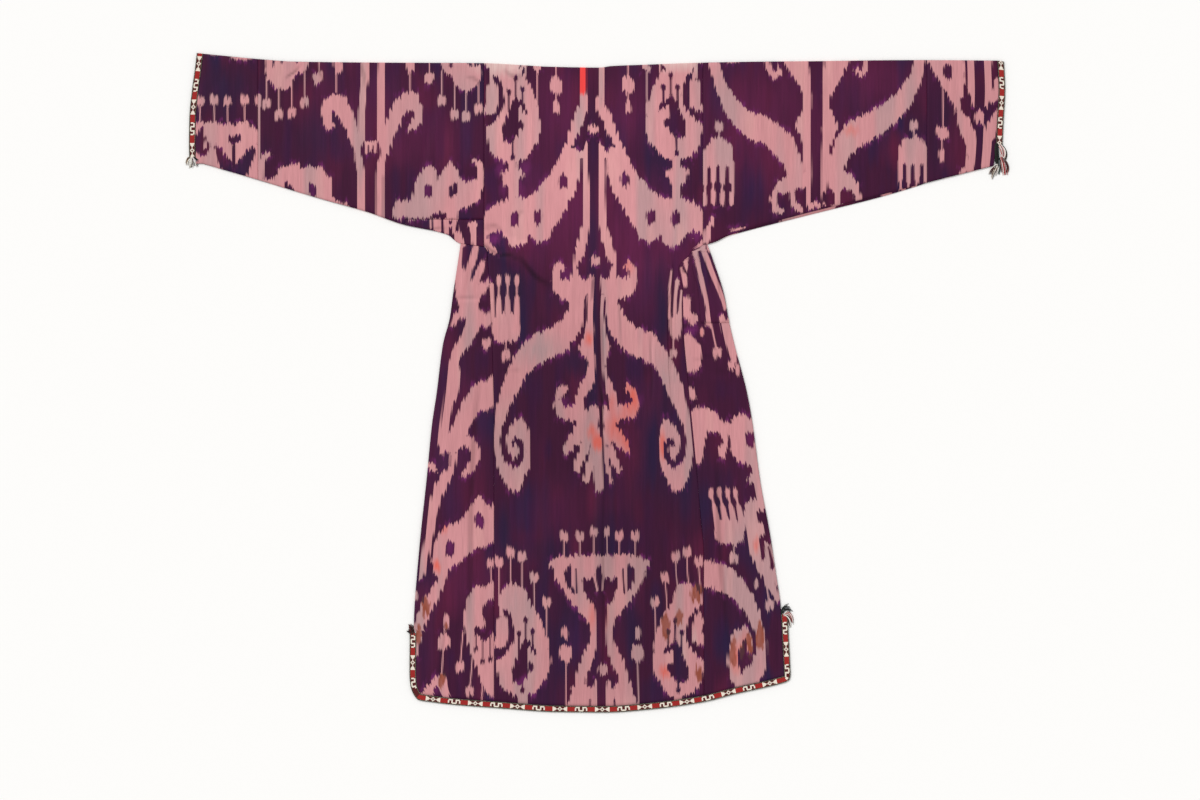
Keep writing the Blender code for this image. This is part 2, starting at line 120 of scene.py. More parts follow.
SHOULDER = (
    ("x", "drop"),
    (-801, 0), (-665, 13), (-606, 17), (-425, 19), (-235, 20), (-152, 24), (-103, 27),
    (5, 29), (27, 26), (101, 23), (215, 19), (325, 17), (443, 16), (621, 14), (799, 15),
    (813, 17),
)
UNDERARM_LEFT = (
    ("x", "drop"),
    (-790, 221), (-681, 253), (-559, 290), (-460, 318), (-389, 343), (-301, 363),
    (-277, 380), (-227, 388), (-215, 392),
)
UNDERARM_RIGHT = (
    ("x", "drop"),
    (205, 385), (229, 380), (265, 364), (403, 324), (573, 282), (652, 261), (731, 241),
    (799, 224), (813, 221),
)
CUFFS = (
    ("drop", "left", "right"),
    (0, -801.5, 812), (17, -803.5, 813), (33, -805.5, 814), (73, -811, 815.5),
    (132, -816.5, 812.5), (184, -817.3, 810), (224, -816, 806),
)
SEAMS = (
    ("drop", "left", "right"),
    (0, *ARMHOLES), (ARMPIT, *ARMHOLES), (396, -220.5, 189), (408, -220, 181),
    (420, -219.5, 167), (432, -218.5, 162), (474, -215.5, 170.5), (548, -212, 172),
    (656, -208.5, 181), (732, -207, 188.5), (814, -207, 196.5), (934, -207, 207),
    (1008, -207, 213), (1320, -207, 213),
)
SIDES = (
    ("drop", "left", "right"),
    (376, -273, 217), (417, -279, 232), (483, -289, 253), (530, -295.5, 261.5),
    (582, -309, 273.5), (682, -322, 299.5), (742, -331, 310), (854, -342, 325),
    (960, -353.5, 344.5), (1042, -361, 357), (1104, -365.8, 366), (1150, -367.4, 368.5),
    (1160, -362.5, 369), (1240, -363, 373), (1262, -361.5, 374), (1276, -357, 374.5),
    (1290, -347, 375),
)
HEM = (
    ("x", "drop"),
    (-363, 1281), (-292, 1290), (-189, 1298), (-85, 1305), (17, 1306), (103, 1300),
    (206, 1286), (275, 1269), (343, 1254), (373, 1246),
)
NECKLINE = (
    ("drop", "left", "right"),
    (30, -150, 100), (110, -120, 82), (200, -80, 58), (280, -36, 34), (330, -14, 19),
)
TUCK = (
    ("drop", "x", "rise"),
    (0, 150, 0), (408, 149, 0), (440, 148, 2.6), (533, 138, 3), (610, 139.5, 2.6),
    (670, 143, 1.2), (740, 150, 0), (1320, 160, 0),
)
TUCK_FOLD = ((0.0, 1.0), (0.3, 1.0), (0.6, 0.86), (0.85, 0.45), (1.0, 0.0))
RIDGES = (
    ("x0", "drop0", "x1", "drop1", "half_width", "rise"),
    (-232, 380, -92, 462, 22, 2),
    (4, 680, 10, 1290, 15, 1.5),
    (192, 394, 236, 560, 8, 1.5),
    (208, 392, 262, 536, 8, 1.8),
    (-262, 384, -276, 520, 9, 1.4),
    (-243, 388, -249, 500, 8, 1.4),
    (-322, 330, -270, 150, 26, 1.2),
    (300, 330, 252, 150, 26, 1.2),
)

# Creases pressed and pulled into the cloth: troughs where the rise is below nought. From SHARP down
# in half width, their troughs are darkened by painted shade and their ridges lightened by a painted
# highlight.
CREASES = (
    ("x0", "drop0", "x1", "drop1", "half_width", "rise"),
    (-229, 384, -203, 398, 5, -0.8), (-214, 396, -158, 412, 7, -0.9),
    (-166, 406, -92, 470, 9, -0.9), (-196, 410, -84, 530, 16, 0.9), (-214, 372, -120, 392, 9, 0.6),
    (8, 664, 10, 762, 4, -1.1), (14, 650, 18, 780, 6, 0.7), (10, 740, 13, 880, 4, -0.6),
    (13, 860, 9, 1296, 4, -0.45), (3, 420, 5, 700, 4, -0.35),
    (44, 480, 46, 600, 4, -0.4), (107, 556, 108, 700, 4, -0.5), (112, 560, 114, 690, 5, 0.4),
    (189, 636, 285, 640, 4, -0.5), (190, 646, 262, 648, 5, 0.4), (189, 612, 240, 606, 4, -0.3),
    (-289, 486, -193, 486, 4, -0.5), (-280, 494, -205, 495, 5, 0.35),
    (-197, 634, -153, 636, 4, -0.4), (-196, 486, -150, 482, 4, -0.4),
    (163, 426, 182, 446, 4, -0.8), (158, 440, 176, 470, 5, 0.7), (150, 452, 146, 640, 3, -0.6),
    (-625, 54, -595, 26, 5, -0.7), (-612, 52, -585, 24, 5, 0.5), (-560, 22, -548, 60, 6, -0.5),
    (-470, 22, -466, 70, 6, -0.4), (-263, 44, -231, 62, 6, -0.5),
    (-190, 34, -150, 52, 7, -0.5), (-175, 26, -150, 36, 6, 0.5), (-232, 344, -188, 352, 7, -0.5),
    (-170, 338, -148, 316, 6, -0.5), (-205, 366, -160, 372, 6, 0.5),
    (-305, 1120, -318, 1290, 4, -0.35), (-272, 1130, -276, 1280, 5, 0.3),
    (-150, 30, -170, 360, 14, -0.5), (60, 40, 78, 380, 16, 0.5), (-60, 300, -44, 640, 16, 0.6),
    (-120, 620, -128, 1180, 18, -0.5), (80, 760, 92, 1240, 20, 0.6), (-40, 900, -52, 1290, 16, 0.5),
    (150, 800, 162, 1290, 12, -0.5), (-180, 720, -176, 1290, 12, 0.5),
    (-560, 60, -540, 270, 18, 0.6), (-470, 40, -462, 300, 14, -0.5), (-390, 60, -400, 310, 16, 0.6),
    (-640, 60, -636, 240, 12, -0.5), (-330, 60, -350, 300, 12, -0.5),
    (380, 50, 372, 300, 16, 0.6), (452, 60, 446, 280, 12, -0.5), (540, 50, 552, 260, 16, 0.6),
    (610, 60, 606, 240, 12, -0.5), (300, 60, 330, 300, 12, -0.5),
    (-740, 40, -746, 220, 12, 0.5), (720, 50, 728, 210, 12, 0.5),
    (-290, 700, -330, 1180, 10, 0.5), (-240, 640, -262, 1150, 9, -0.5),
    (250, 700, 320, 1120, 10, 0.5), (230, 760, 262, 1200, 9, -0.5),
    (-372, 350, -300, 352, 5, -0.5), (214, 404, 226, 470, 4, -0.6), (236, 430, 250, 500, 4, -0.5),
)

SHARP = 10
SHARP_CREASES = CREASES[:1] + tuple(row for row in CREASES[1:] if row[4] < SHARP)
CREASE_RISE = 0.9      # share of the creases' rise that is kept
WAVE_RISE = 0.55       # height of the slight waviness between them
LIE_LIMITS = (-0.7, 4.0)
# Painted shade in the creases' troughs and a painted highlight on their ridges:
CREASE_PAINTED_SHADE = 0.6      # share of brightness for a millimetre of rise, within these limits
PAINTED_SHADE_LIMITS = (-0.9, 0.15)

# Studio
CAMERA_AT = (0.005, -0.034, 6.6703)
ROOM_LIGHT = 0.68
LAMP_LIGHT = 1.32
LAMP_SHINES = (0.5, -0.55, -1.0)
LAMP_SPREAD = 24
FLOOR_SHADE = (0.96, 0.951, 0.934, 1.0)
FLOOR_LIGHT = (0.972, 0.963, 0.946, 1.0)
FLOOR_HALF = 9
FLOOR_LEVEL = -0.0006

# A strand of a tassel: rings along it and corners of a ring, the height of its end, and the
# least and most of its radius, of its share of the lock's length, of the height of its root
# and of its arch, and of its waver's height and reach
STRAND_STEPS, STRAND_SIDES = 13, 6
STRAND_REST = 0.9
STRAND_RADIUS, STRAND_TAPER = (0.55, 0.9), 0.35
STRAND_LENGTH = (0.72, 1.06)
STRAND_ROOT, STRAND_ARCH = (1.2, 3.6), (0, 2.2)
STRAND_WAVER, STRAND_REACH = (0.1, 0.5), (2, 7)
ODD_STRANDS = 0.85     # beyond this chance a strand has its neighbour's dye

# Tassels, in locks: root, bend and end on the chart, breadths there, strands and dyes
TASSELS = {
    "tassel_cuff_left": (
        (190.6, 157.6, 186.6, 158.4, 186.4, 164.4, 2, 3.6, 3, 12,
         ("umber", "chalk", "soot", "straw")),
        (191.4, 157.4, 191.2, 163, 190.8, 168, 2.4, 4.4, 3.8, 15,
         ("chalk", "umber", "chalk", "soot", "cream")),
        (192.6, 157.6, 196.4, 160, 196.6, 167.2, 2.4, 4, 4.4, 14,
         ("chalk", "soot", "lilac", "chalk", "umber")),
        (193.4, 156.6, 196.6, 160.2, 203.4, 163.4, 1.4, 1.8, 1.2, 6, ("soot", "bottle", "slate")),
    ),
    "tassel_cuff_right": (
        (996.4, 143.4, 996, 154, 998.4, 166, 4, 5.4, 4, 22, ("soot", "bottle", "soot", "pine")),
        (999.8, 145, 1006, 152, 1001.8, 162, 3, 7.4, 2.8, 22,
         ("chalk", "rose", "chalk", "ember", "rose", "soot")),
        (1001.6, 145, 1009.6, 152.5, 1004, 162, 1.2, 1.6, 1.4, 7, ("soot", "umber", "bottle")),
        (1001.2, 157, 1004.4, 165, 1004.8, 174, 3, 7.4, 5.6, 22,
         ("ember", "chalk", "maroon", "rose", "soot", "ember")),
        (1003.4, 158, 1010, 167, 1007.4, 172.6, 1.4, 2, 2, 8, ("soot", "maroon", "umber")),
        (999.4, 160, 999.2, 168, 998.8, 174.6, 2.4, 2.8, 2.2, 10,
         ("bottle", "moss", "slate", "soot")),
    ),
    "tassel_cuff_right_small": (
        (998.4, 164.6, 995.8, 168, 994.8, 176, 3, 6, 4.2, 15,
         ("chalk", "soot", "chalk", "maroon", "chalk")),
        (998, 164.8, 992.8, 167.4, 990.4, 174, 2.2, 4, 3.6, 11,
         ("maroon", "chalk", "umber", "soot")),
        (997, 167, 993.4, 173, 992, 178.6, 1.4, 2, 1.6, 5, ("slate", "cream", "umber")),
    ),
    "tassel_slit_left": (
        (413.4, 634, 411.4, 629.4, 410.6, 624.4, 2.4, 4, 5, 12, ("soot", "maroon", "soot")),
        (413.2, 635, 411, 631.6, 407.6, 629.4, 2.6, 4, 4.6, 13,
         ("soot", "umber", "soot", "maroon")),
        (413, 636.6, 411.6, 633.6, 408.8, 632.6, 2.6, 3, 2, 8, ("soot", "slate", "chalk")),
    ),
    "tassel_slit_right": (
        (782.4, 613.6, 782.6, 608, 788.6, 605.4, 3.4, 4, 3, 13,
         ("soot", "bottle", "soot", "slate")),
        (782.6, 613.6, 786.6, 605.4, 792, 612.6, 3, 5, 3.6, 16,
         ("soot", "slate", "chalk", "bottle", "soot")),
        (783.2, 614.6, 791.4, 611.4, 792.2, 626, 3, 6, 4.4, 24,
         ("ember", "chalk", "soot", "rose", "maroon")),
        (784.6, 616, 788, 617, 790, 626.6, 2.4, 4, 3, 13, ("ember", "chalk", "maroon", "soot")),
        (782, 617, 781.6, 612, 783.2, 607.6, 2.4, 2.4, 2.2, 8, ("soot", "bottle")),
    ),
}

DYES = {               # as seen, from 0 to 255
    "bleached": (226, 196, 190),
    "plum": (66, 19, 51), "wine": (92, 25, 57), "indigo": (45, 25, 63), "violet": (56, 20, 61),
    "magenta": (118, 38, 104), "mulberry": (94, 29, 68), "navy": (43, 24, 58),
    "salmon": (211, 145, 149), "ash_rose": (180, 145, 147), "blush": (222, 161, 159),
    "coral": (226, 108, 96), "scarlet": (238, 70, 68), "rust": (150, 76, 58),
    "oat": (206, 176, 170),
    "cream": (226, 214, 194), "chalk": (240, 236, 228), "umber": (98, 66, 52),
    "straw": (186, 158, 118), "ember": (168, 44, 42), "moss": (44, 74, 52),
    "soot": (32, 28, 30), "slate": (112, 112, 116), "rose": (222, 158, 158),
    "brick": (152, 28, 28), "madder": (176, 42, 38), "bone": (214, 196, 172),
    "shell": (240, 222, 202), "white_silk": (250, 242, 228), "maroon": (88, 22, 24),
    "pine": (44, 48, 36), "lilac": (206, 184, 200), "bottle": (28, 48, 40),
}
EXPOSURE = 0.95        # brightness of every dye under the studio's light
RIB_TURN = 6980.0      # radians of the weft ribs' sine to a metre, so a rib is 0.9 mm


def column(table, name):
    """One named column of a table whose first row holds the names."""
    place = table[0].index(name)
    return np.array([row[place] for row in table[1:]], dtype=float)


def smooth(xs, ys, at):
    """Cubic through the points (xs, ys) that never runs past them between two points."""
    at = np.clip(np.asarray(at, dtype=float), xs[0], xs[-1])
    span = np.diff(xs)
    slope = np.diff(ys) / span
    tangent = np.concatenate((slope[:1], np.zeros(len(xs) - 2), slope[-1:]))
    turn = slope[:-1] * slope[1:] > 0
    both = np.where(turn, slope[:-1] + slope[1:], 1.0)
    tangent[1:-1] = np.where(turn, 2 * slope[:-1] * slope[1:] / both, 0.0)
    i = np.clip(np.searchsorted(xs, at, side="right") - 1, 0, len(xs) - 2)
    t = (at - xs[i]) / span[i]
    return ((1 + 2 * t) * (1 - t) ** 2 * ys[i] + t * (1 - t) ** 2 * span[i] * tangent[i]
            + t * t * (3 - 2 * t) * ys[i + 1] + t * t * (t - 1) * span[i] * tangent[i + 1])


def read(table, key, value):
    """A function that reads one column of a table against another."""
    return lambda at: smooth(column(table, key), column(table, value), at)


shoulder = read(SHOULDER, "x", "drop")
hem = read(HEM, "x", "drop")
seam_left = read(SEAMS, "drop", "left")
seam_right = read(SEAMS, "drop", "right")
side_left = read(SIDES, "drop", "left")
side_right = read(SIDES, "drop", "right")
underarm_left = read(UNDERARM_LEFT, "x", "drop")
underarm_right = read(UNDERARM_RIGHT, "x", "drop")
cuff_left = read(CUFFS, "drop", "left")
cuff_right = read(CUFFS, "drop", "right")
tuck_line = read(TUCK, "drop", "x")
tuck_rise = read(TUCK, "drop", "rise")


def shifted(line, by):
    """The same line moved by a distance."""
    return lambda at: line(at) + by


def fixed(value):
    """A line at one distance."""
    return lambda at: np.full_like(np.asarray(at, dtype=float), value)


def unit(vectors):
    """The vectors brought to the length of one."""
    return vectors / np.linalg.norm(vectors, axis=-1)[..., None]


def chance(number, seed):
    """Even spread of values from 0 to 1, one for each whole number: the broken part of a
    large multiple of its sine."""
    value = np.sin(number * 127.1 + seed * 311.7) * 43758.5453
    return value - np.floor(value)


def cloud(x, y, wide, tall, seed):
    """Soft unevenness from 0 to 1: chances on a lattice of cells, wide by tall, with an
    eased blend between the four corners of each cell."""
    u, v = x / wide, y / tall
    i, k = np.floor(u), np.floor(v)
    s, t = u - i, v - k
    s, t = s * s * (3 - 2 * s), t * t * (3 - 2 * t)
    near = chance(i * 57 + k, seed) * (1 - s) + chance((i + 1) * 57 + k, seed) * s
    far = chance(i * 57 + k + 1, seed) * (1 - s) + chance((i + 1) * 57 + k + 1, seed) * s
    return near * (1 - t) + far * t


def pressed(table, x, drop):
    """Sum of the table's ridges and troughs: each is a bell across its line, which wanders by
    a sine, and is eased to nothing at both ends."""
    rise = np.zeros_like(x)
    for x0, drop0, x1, drop1, half_width, height in table[1:]:
        run = np.array((x1 - x0, drop1 - drop0), dtype=float)
        long = math.hypot(*run)
        along = ((x - x0) * run[0] + (drop - drop0) * run[1]) / long ** 2
        across = ((x - x0) * run[1] - (drop - drop0) * run[0]) / long
        wander = half_width * 0.35 * np.sin(along * 7 + x0)
        ends = np.sin(math.pi * np.clip(along, 0, 1)) ** 0.7
        bell = np.clip(1 - ((across + wander) / half_width) ** 2, 0, 1) ** 2
        rise = rise + height * ends * bell
    return rise


def ridges(x, drop):
    """Highest of the broad ridges at each point."""
    rise = np.zeros_like(x)
    for row in RIDGES[1:]:
        rise = np.maximum(rise, pressed((RIDGES[0], row), x, drop))
    return rise


def lie(x, drop):
    """How far the upper layer lies from flat: broad ridges, creases and a slight waviness."""
    wave = cloud(x, drop, 46, 90, 3) - 0.5 + 0.5 * (cloud(x, drop, 17, 34, 8) - 0.5)
    creased = CREASE_RISE * pressed(CREASES, x, drop)
    return np.clip(ridges(x, drop) + creased + WAVE_RISE * wave, *LIE_LIMITS)


def station_drop(x, station):
    """Drop of a station at x: the stations near the ends follow the shoulder and the hem."""
    start = shoulder(x) + FOLD_RADIUS
    upper = start + (station - FIRST_STATION) * (ARMPIT - start) / (ARMPIT - FIRST_STATION)
    share = (station - HEM_CURVE_FROM) / (HEM_LEVEL - HEM_CURVE_FROM)
    lower = station + (hem(x) - HEM_LEVEL) * share
    return np.where(station < ARMPIT, upper, np.where(station > HEM_CURVE_FROM, lower, station))


def panel(left, right, across, stations, top=None, hem_inset=0.0):
    """Grid of (x, drop): columns run evenly from the left line to the right one and rows
    follow the stations down the body. x and drop depend on each other and settle in turns."""
    u = np.asarray(across, dtype=float)[:, None]
    station = np.broadcast_to(np.asarray(stations, dtype=float), (len(u), len(stations)))
    drop = station
    for _ in range(4):
        x = left(drop) + (right(drop) - left(drop)) * u
        drop = station_drop(x, station)
        if hem_inset:
            share = np.clip((station - HEM_CURVE_FROM) / (HEM_LEVEL - HEM_CURVE_FROM), 0, 1)
            drop = drop - hem_inset * share
        if top is not None:
            drop = drop.copy()
            drop[:, 0] = top(x[:, 0])
    return x, drop


def rectangle(left, right, top, bottom, across, along):
    """Grid of (x, drop) between two side lines and two end lines, settled in turns from a
    drop in the middle of the sleeves."""
    u = np.asarray(across, dtype=float)[:, None]
    v = np.asarray(along, dtype=float)[None, :]
    drop = np.full((len(u), v.shape[1]), 200.0)
    for _ in range(6):
        x = left(drop) + (right(drop) - left(drop)) * u
        drop = top(x) + (bottom(x) - top(x)) * v
    return x, drop


def folded(upper, lower, rise, under, sense=1):
    """Section round a fold: the lower layer up to it, a half circle, then the upper layer.
    rise lifts the upper layer and under the lower one; sense is 1 where the cloth runs down
    from the fold and -1 where it runs up from it."""
    angle = np.linspace(-math.pi / 2, math.pi / 2, FOLD_STEPS + 1)[None, 1:-1]
    x_low, drop_low = (part[:, ::-1] for part in lower)
    x_up, drop_up = upper
    x_arc = np.repeat(x_up[:, :1], angle.shape[1], axis=1)
    drop_arc = drop_up[:, :1] - sense * FOLD_RADIUS * np.cos(angle)
    z_arc = np.broadcast_to(FOLD_RADIUS * (1 + np.sin(angle)), x_arc.shape)
    x = np.concatenate((x_low, x_arc, x_up), axis=1)
    drop = np.concatenate((drop_low, drop_arc, drop_up), axis=1)
    z = np.concatenate((under[:, ::-1], z_arc, TOP_LEVEL + rise), axis=1)
    return x, drop, z


def sunk(rise, left=True, right=True, foot=False):
    """The rise with the cloth drawn down along its sewn edges, over the last two columns."""
    rise = rise.copy()
    for sewn, edge, next_in in ((left, 0, 1), (right, -1, -2)):
        if sewn:
            rise[edge] = np.minimum(rise[edge], 0) - SEAM_SINK
            rise[next_in] -= BESIDE_SEAM * SEAM_SINK
    if foot:
        rise[:, -1] -= SEAM_SINK
    return rise


def between(values):
    """Values halfway between each two neighbours."""
    return (values[:-1] + values[1:]) / 2


def spaced(length, step):
    """Shares from 0 to 1, as far apart as the step is of the length."""
    return np.linspace(0, 1, max(int(round(length / step)), 2) + 1)


def stations(first, step):
    """Stations down the body to its hem, closer where its figures are small, that keep the
    armpit and the start of the hem's curve."""
    marks = [first] + [mark for mark in (ARMPIT, HEM_CURVE_FROM, HEM_LEVEL) if mark > first]
    parts = []
    for start, stop in zip(marks, marks[1:]):
        level = np.linspace(start, stop, 300)
        close = read(ROWS, "drop", "close")(level)
        reached = np.append(0, np.cumsum(between(close) * np.diff(level)))
        count = max(int(round(reached[-1] / step)), 2)
        parts.append(np.interp(np.linspace(0, reached[-1], count + 1), reached, level))
    return np.unique(np.concatenate(parts))


# The chart of the resist-dyed figures. A chart row is (tone, shape). A shape is a line of
# points (x, y, half width), or one spot (x, y, half breadth, half height).
CHART_UNIT = 2.0       # millimetres to a column or a row
CHART_MIDDLE = 597.5   # the chart's column at the robe's middle
CHART_TOP = 53.0       # its row at the shoulder point
REPEAT = 527.0         # rows after which the loom's figures come again
ROSE, DARK = 1, -1
CENTRE = (             # the centre line of the paired figures
    ("y", "x"),
    (53, 592), (95, 592), (130, 593), (260, 595), (345, 598), (420, 600), (640, 601.5),
    (713, 602.5),
)
TAKEN_IN = (           # cloth lost beside the centre, and further out in the pleats of the tuck
    ("y", "near", "far", "slant"),
    (53, 0, -2.5, 4), (150, 0, -2.5, 3.5), (200, 0, -1.5, 1), (250, 0, -1, 0), (270, 1.5, 0, 0),
    (300, 4.6, 0, 0), (330, 6, 1, 0), (345, 7, 5, 0), (370, 6.8, 6.5, 0), (390, 6.5, 8, 0),
    (404, 6.5, 9, 0), (440, 8, 6, 0), (490, 4.5, 5, 0), (545, 2.6, 2, 0), (570, 3, 1, 0),
    (600, 1, 0.5, 0), (640, 0, 2.5, 0), (713, 0, 4, 0),
)
NEAR_SHARE = (3, 8)    # the first is lost from so far beside the centre, over so many columns
FAR_SHARE = (646, 26)  # and the second from this column, over so many
SMALL = 3.0            # shapes with less than this half breadth are read by single columns
SMALL_SLIP = 0.45      # and slip by this share
NEXT_LEFT, NEXT_BREADTH, NEXT_MIDDLE = 484, 224, 594       # of the panel on the next length
BUNDLE_SLIP = 1.9      # furthest that a bundle of warp slips, in rows
COLUMN_SLIP = 0.5      # and a single column in it
POINT_HEIGHTS = (1.2, 4.6)     # of the bundles' pointed ends
STALK_HALF = 0.62
OVAL = 2.5             # power by which ovals are squared a little
GROUND_DEPTH = -30.0   # depth of the plain ground


def spot(x, y, across, down, tone=ROSE):
    """A rounded oval."""
    return ((tone, ((x, y, across, down),)),)


def line(*points, tone=ROSE):
    """A line through points of its own half widths."""
    return ((tone, points),)


def dark(*points):
    """A line of the dark ground."""
    return ((DARK, points),)


def eye(x, y, across=4.2, down=7.2):
    """A dark oval in a figure."""
    return spot(x, y, across, down, DARK)


def stalk(x, y0, y1, tone=ROSE, lean=0.0):
    """A line as thin as a bundle of warp, from row to row."""
    return line((x, y0, STALK_HALF), (x + lean, y1, STALK_HALF), tone=tone)


def bob(x, y, end, across=4.4, tone=ROSE, lean=0.0):
    """A small head with two horns, on a stalk that runs to another row."""
    away = 1 if y < end else -1
    horn = 0.5 * across
    return (spot(x - horn, y - away * 0.3, 0.46 * across, 1.2 * across, tone)
            + spot(x + horn, y + away * 0.5, 0.44 * across, 1.05 * across, tone)
            + spot(x, y + away * 0.4 * across, 0.86 * across, 0.62 * across, tone)
            + stalk(x, y, end, tone, lean))


def teardrop(x, y, across=3.0, down=6.3):
    """A slim drop on a stalk."""
    return spot(x, y, across, down)


def octagon(x, y, across=6.3, down=8.0):
    """A broad bead on a stalk."""
    return spot(x, y, across, down) + spot(x, y, across * 0.7, down * 1.1)


def pin(x, y, end):
    """A small dark head on a stalk."""
    return spot(x, y, 2.3, 3, DARK) + dark((x, y, 1), (x, end, 1))


def medallion(x, y, lift=0.0):
    """A pear with a dark pear inside it, pins that stand on the dark one, and at its shoulder
    a drop in a dark crescent. lift raises the dark pear and its pins."""
    outside = (
        line((-9, -47, 14), (-8, -37, 15.5), (0, -28, 14.5), (6, -15, 14.8), (7.5, 0, 19),
             (1, 17, 27.3), (-1, 28, 23.5), (-1, 43, 9))
        + dark((-19.5, -36, 1.4), (-15.5, -30, 3.2), (-12, -20, 3.1), (-11, -12, 3.2),
               (-12.5, -4, 3.6), (-16.5, 2, 4), (-22, 8, 4), (-30, 12, 4))
        + dark((-29, -50, 6.5), (-27.5, -33, 4.5))
        + spot(-20.3, -14.5, 6.2, 15.5) + line((-21, -3, 4.4), (-30, 0, 3))
        + stalk(-20.4, -44, -28)
    )
    inside = (
        dark((3, -2, 3.2), (1, 6, 4.2), (0, 13, 5.2), (-1, 20, 7.6), (-2, 27, 9), (-4, 33, 6))
        + dark((4, 0.5, 3), (9, 2, 2.6), (12, 5.5, 1.9), (14, 9, 1.2))
        + spot(8.4, 22, 2.8, 4.4, DARK)
        + pin(-3.6, -12, 8) + pin(3.2, -25, 2) + pin(10, -14, 4)
    )
    return tuple((tone, tuple((x + p[0], y + p[1] - up, *p[2:]) for p in points))
                 for part, up in ((outside, 0.0), (inside, lift)) for tone, points in part)


def comb_down(x, top, foot, slots, edge):
    """A rounded head on a bob, with teeth that hang from it. Towards their ends the teeth
    narrow to a thread between dark beads."""
    shapes = spot(x, top + 20, edge, 20) + bob(x + 0.5, top - 12, top + 4, 4.3)
    shapes += line((x - edge + 7, top + 22, 7), (x + edge - 7, top + 22, 7))
    spread = slots[1] - slots[0]
    teeth = [slots[0] - 0.48 * spread] + [place + 0.48 * spread for place in slots]
    for place in teeth:
        shapes += line((place, top + 24, 2.8), (place, foot - 14, 2.7), (place, foot - 3, 2.1))
    for place in slots:
        shapes += dark((place, top + 28.5, 1.8), (place, top + 44, 2), (place, top + 60, 2.1))
        shapes += spot(place, top + 49, 4.2, 5, DARK)
    shapes += dark((x - edge, top + 46, 1.2), (x - edge, top + 52, 1.2))
    for place in teeth[:-1]:
        shapes += line((place, top + 43, 0.9), (place, top + 55, 0.9))
    return shapes


def comb_up(x, top, foot, lean, teeth):
    """Teeth that stand in a cup over a bob on its stalk. Each has a small head, a thin neck
    and a broad blade."""
    tall = foot - top
    shapes = spot(x + lean * 0.8, foot - 0.2 * tall, 14.2, 0.2 * tall + 1.5)
    for place in teeth:
        shapes += spot(place, top + 4, 2.4, 5.4)
        shapes += line((place, top, 0.9), (place + lean * 0.36, top + 0.38 * tall, 0.9))
        shapes += line((place + lean * 0.36, top + 0.34 * tall, 2.3),
                       (place + lean * 0.55, top + 0.5 * tall, 2.8),
                       (place + lean * 0.72, top + 0.74 * tall, 2.9))
    return shapes + bob(x + lean * 1.25, foot + 15, foot - 3, 4.6)


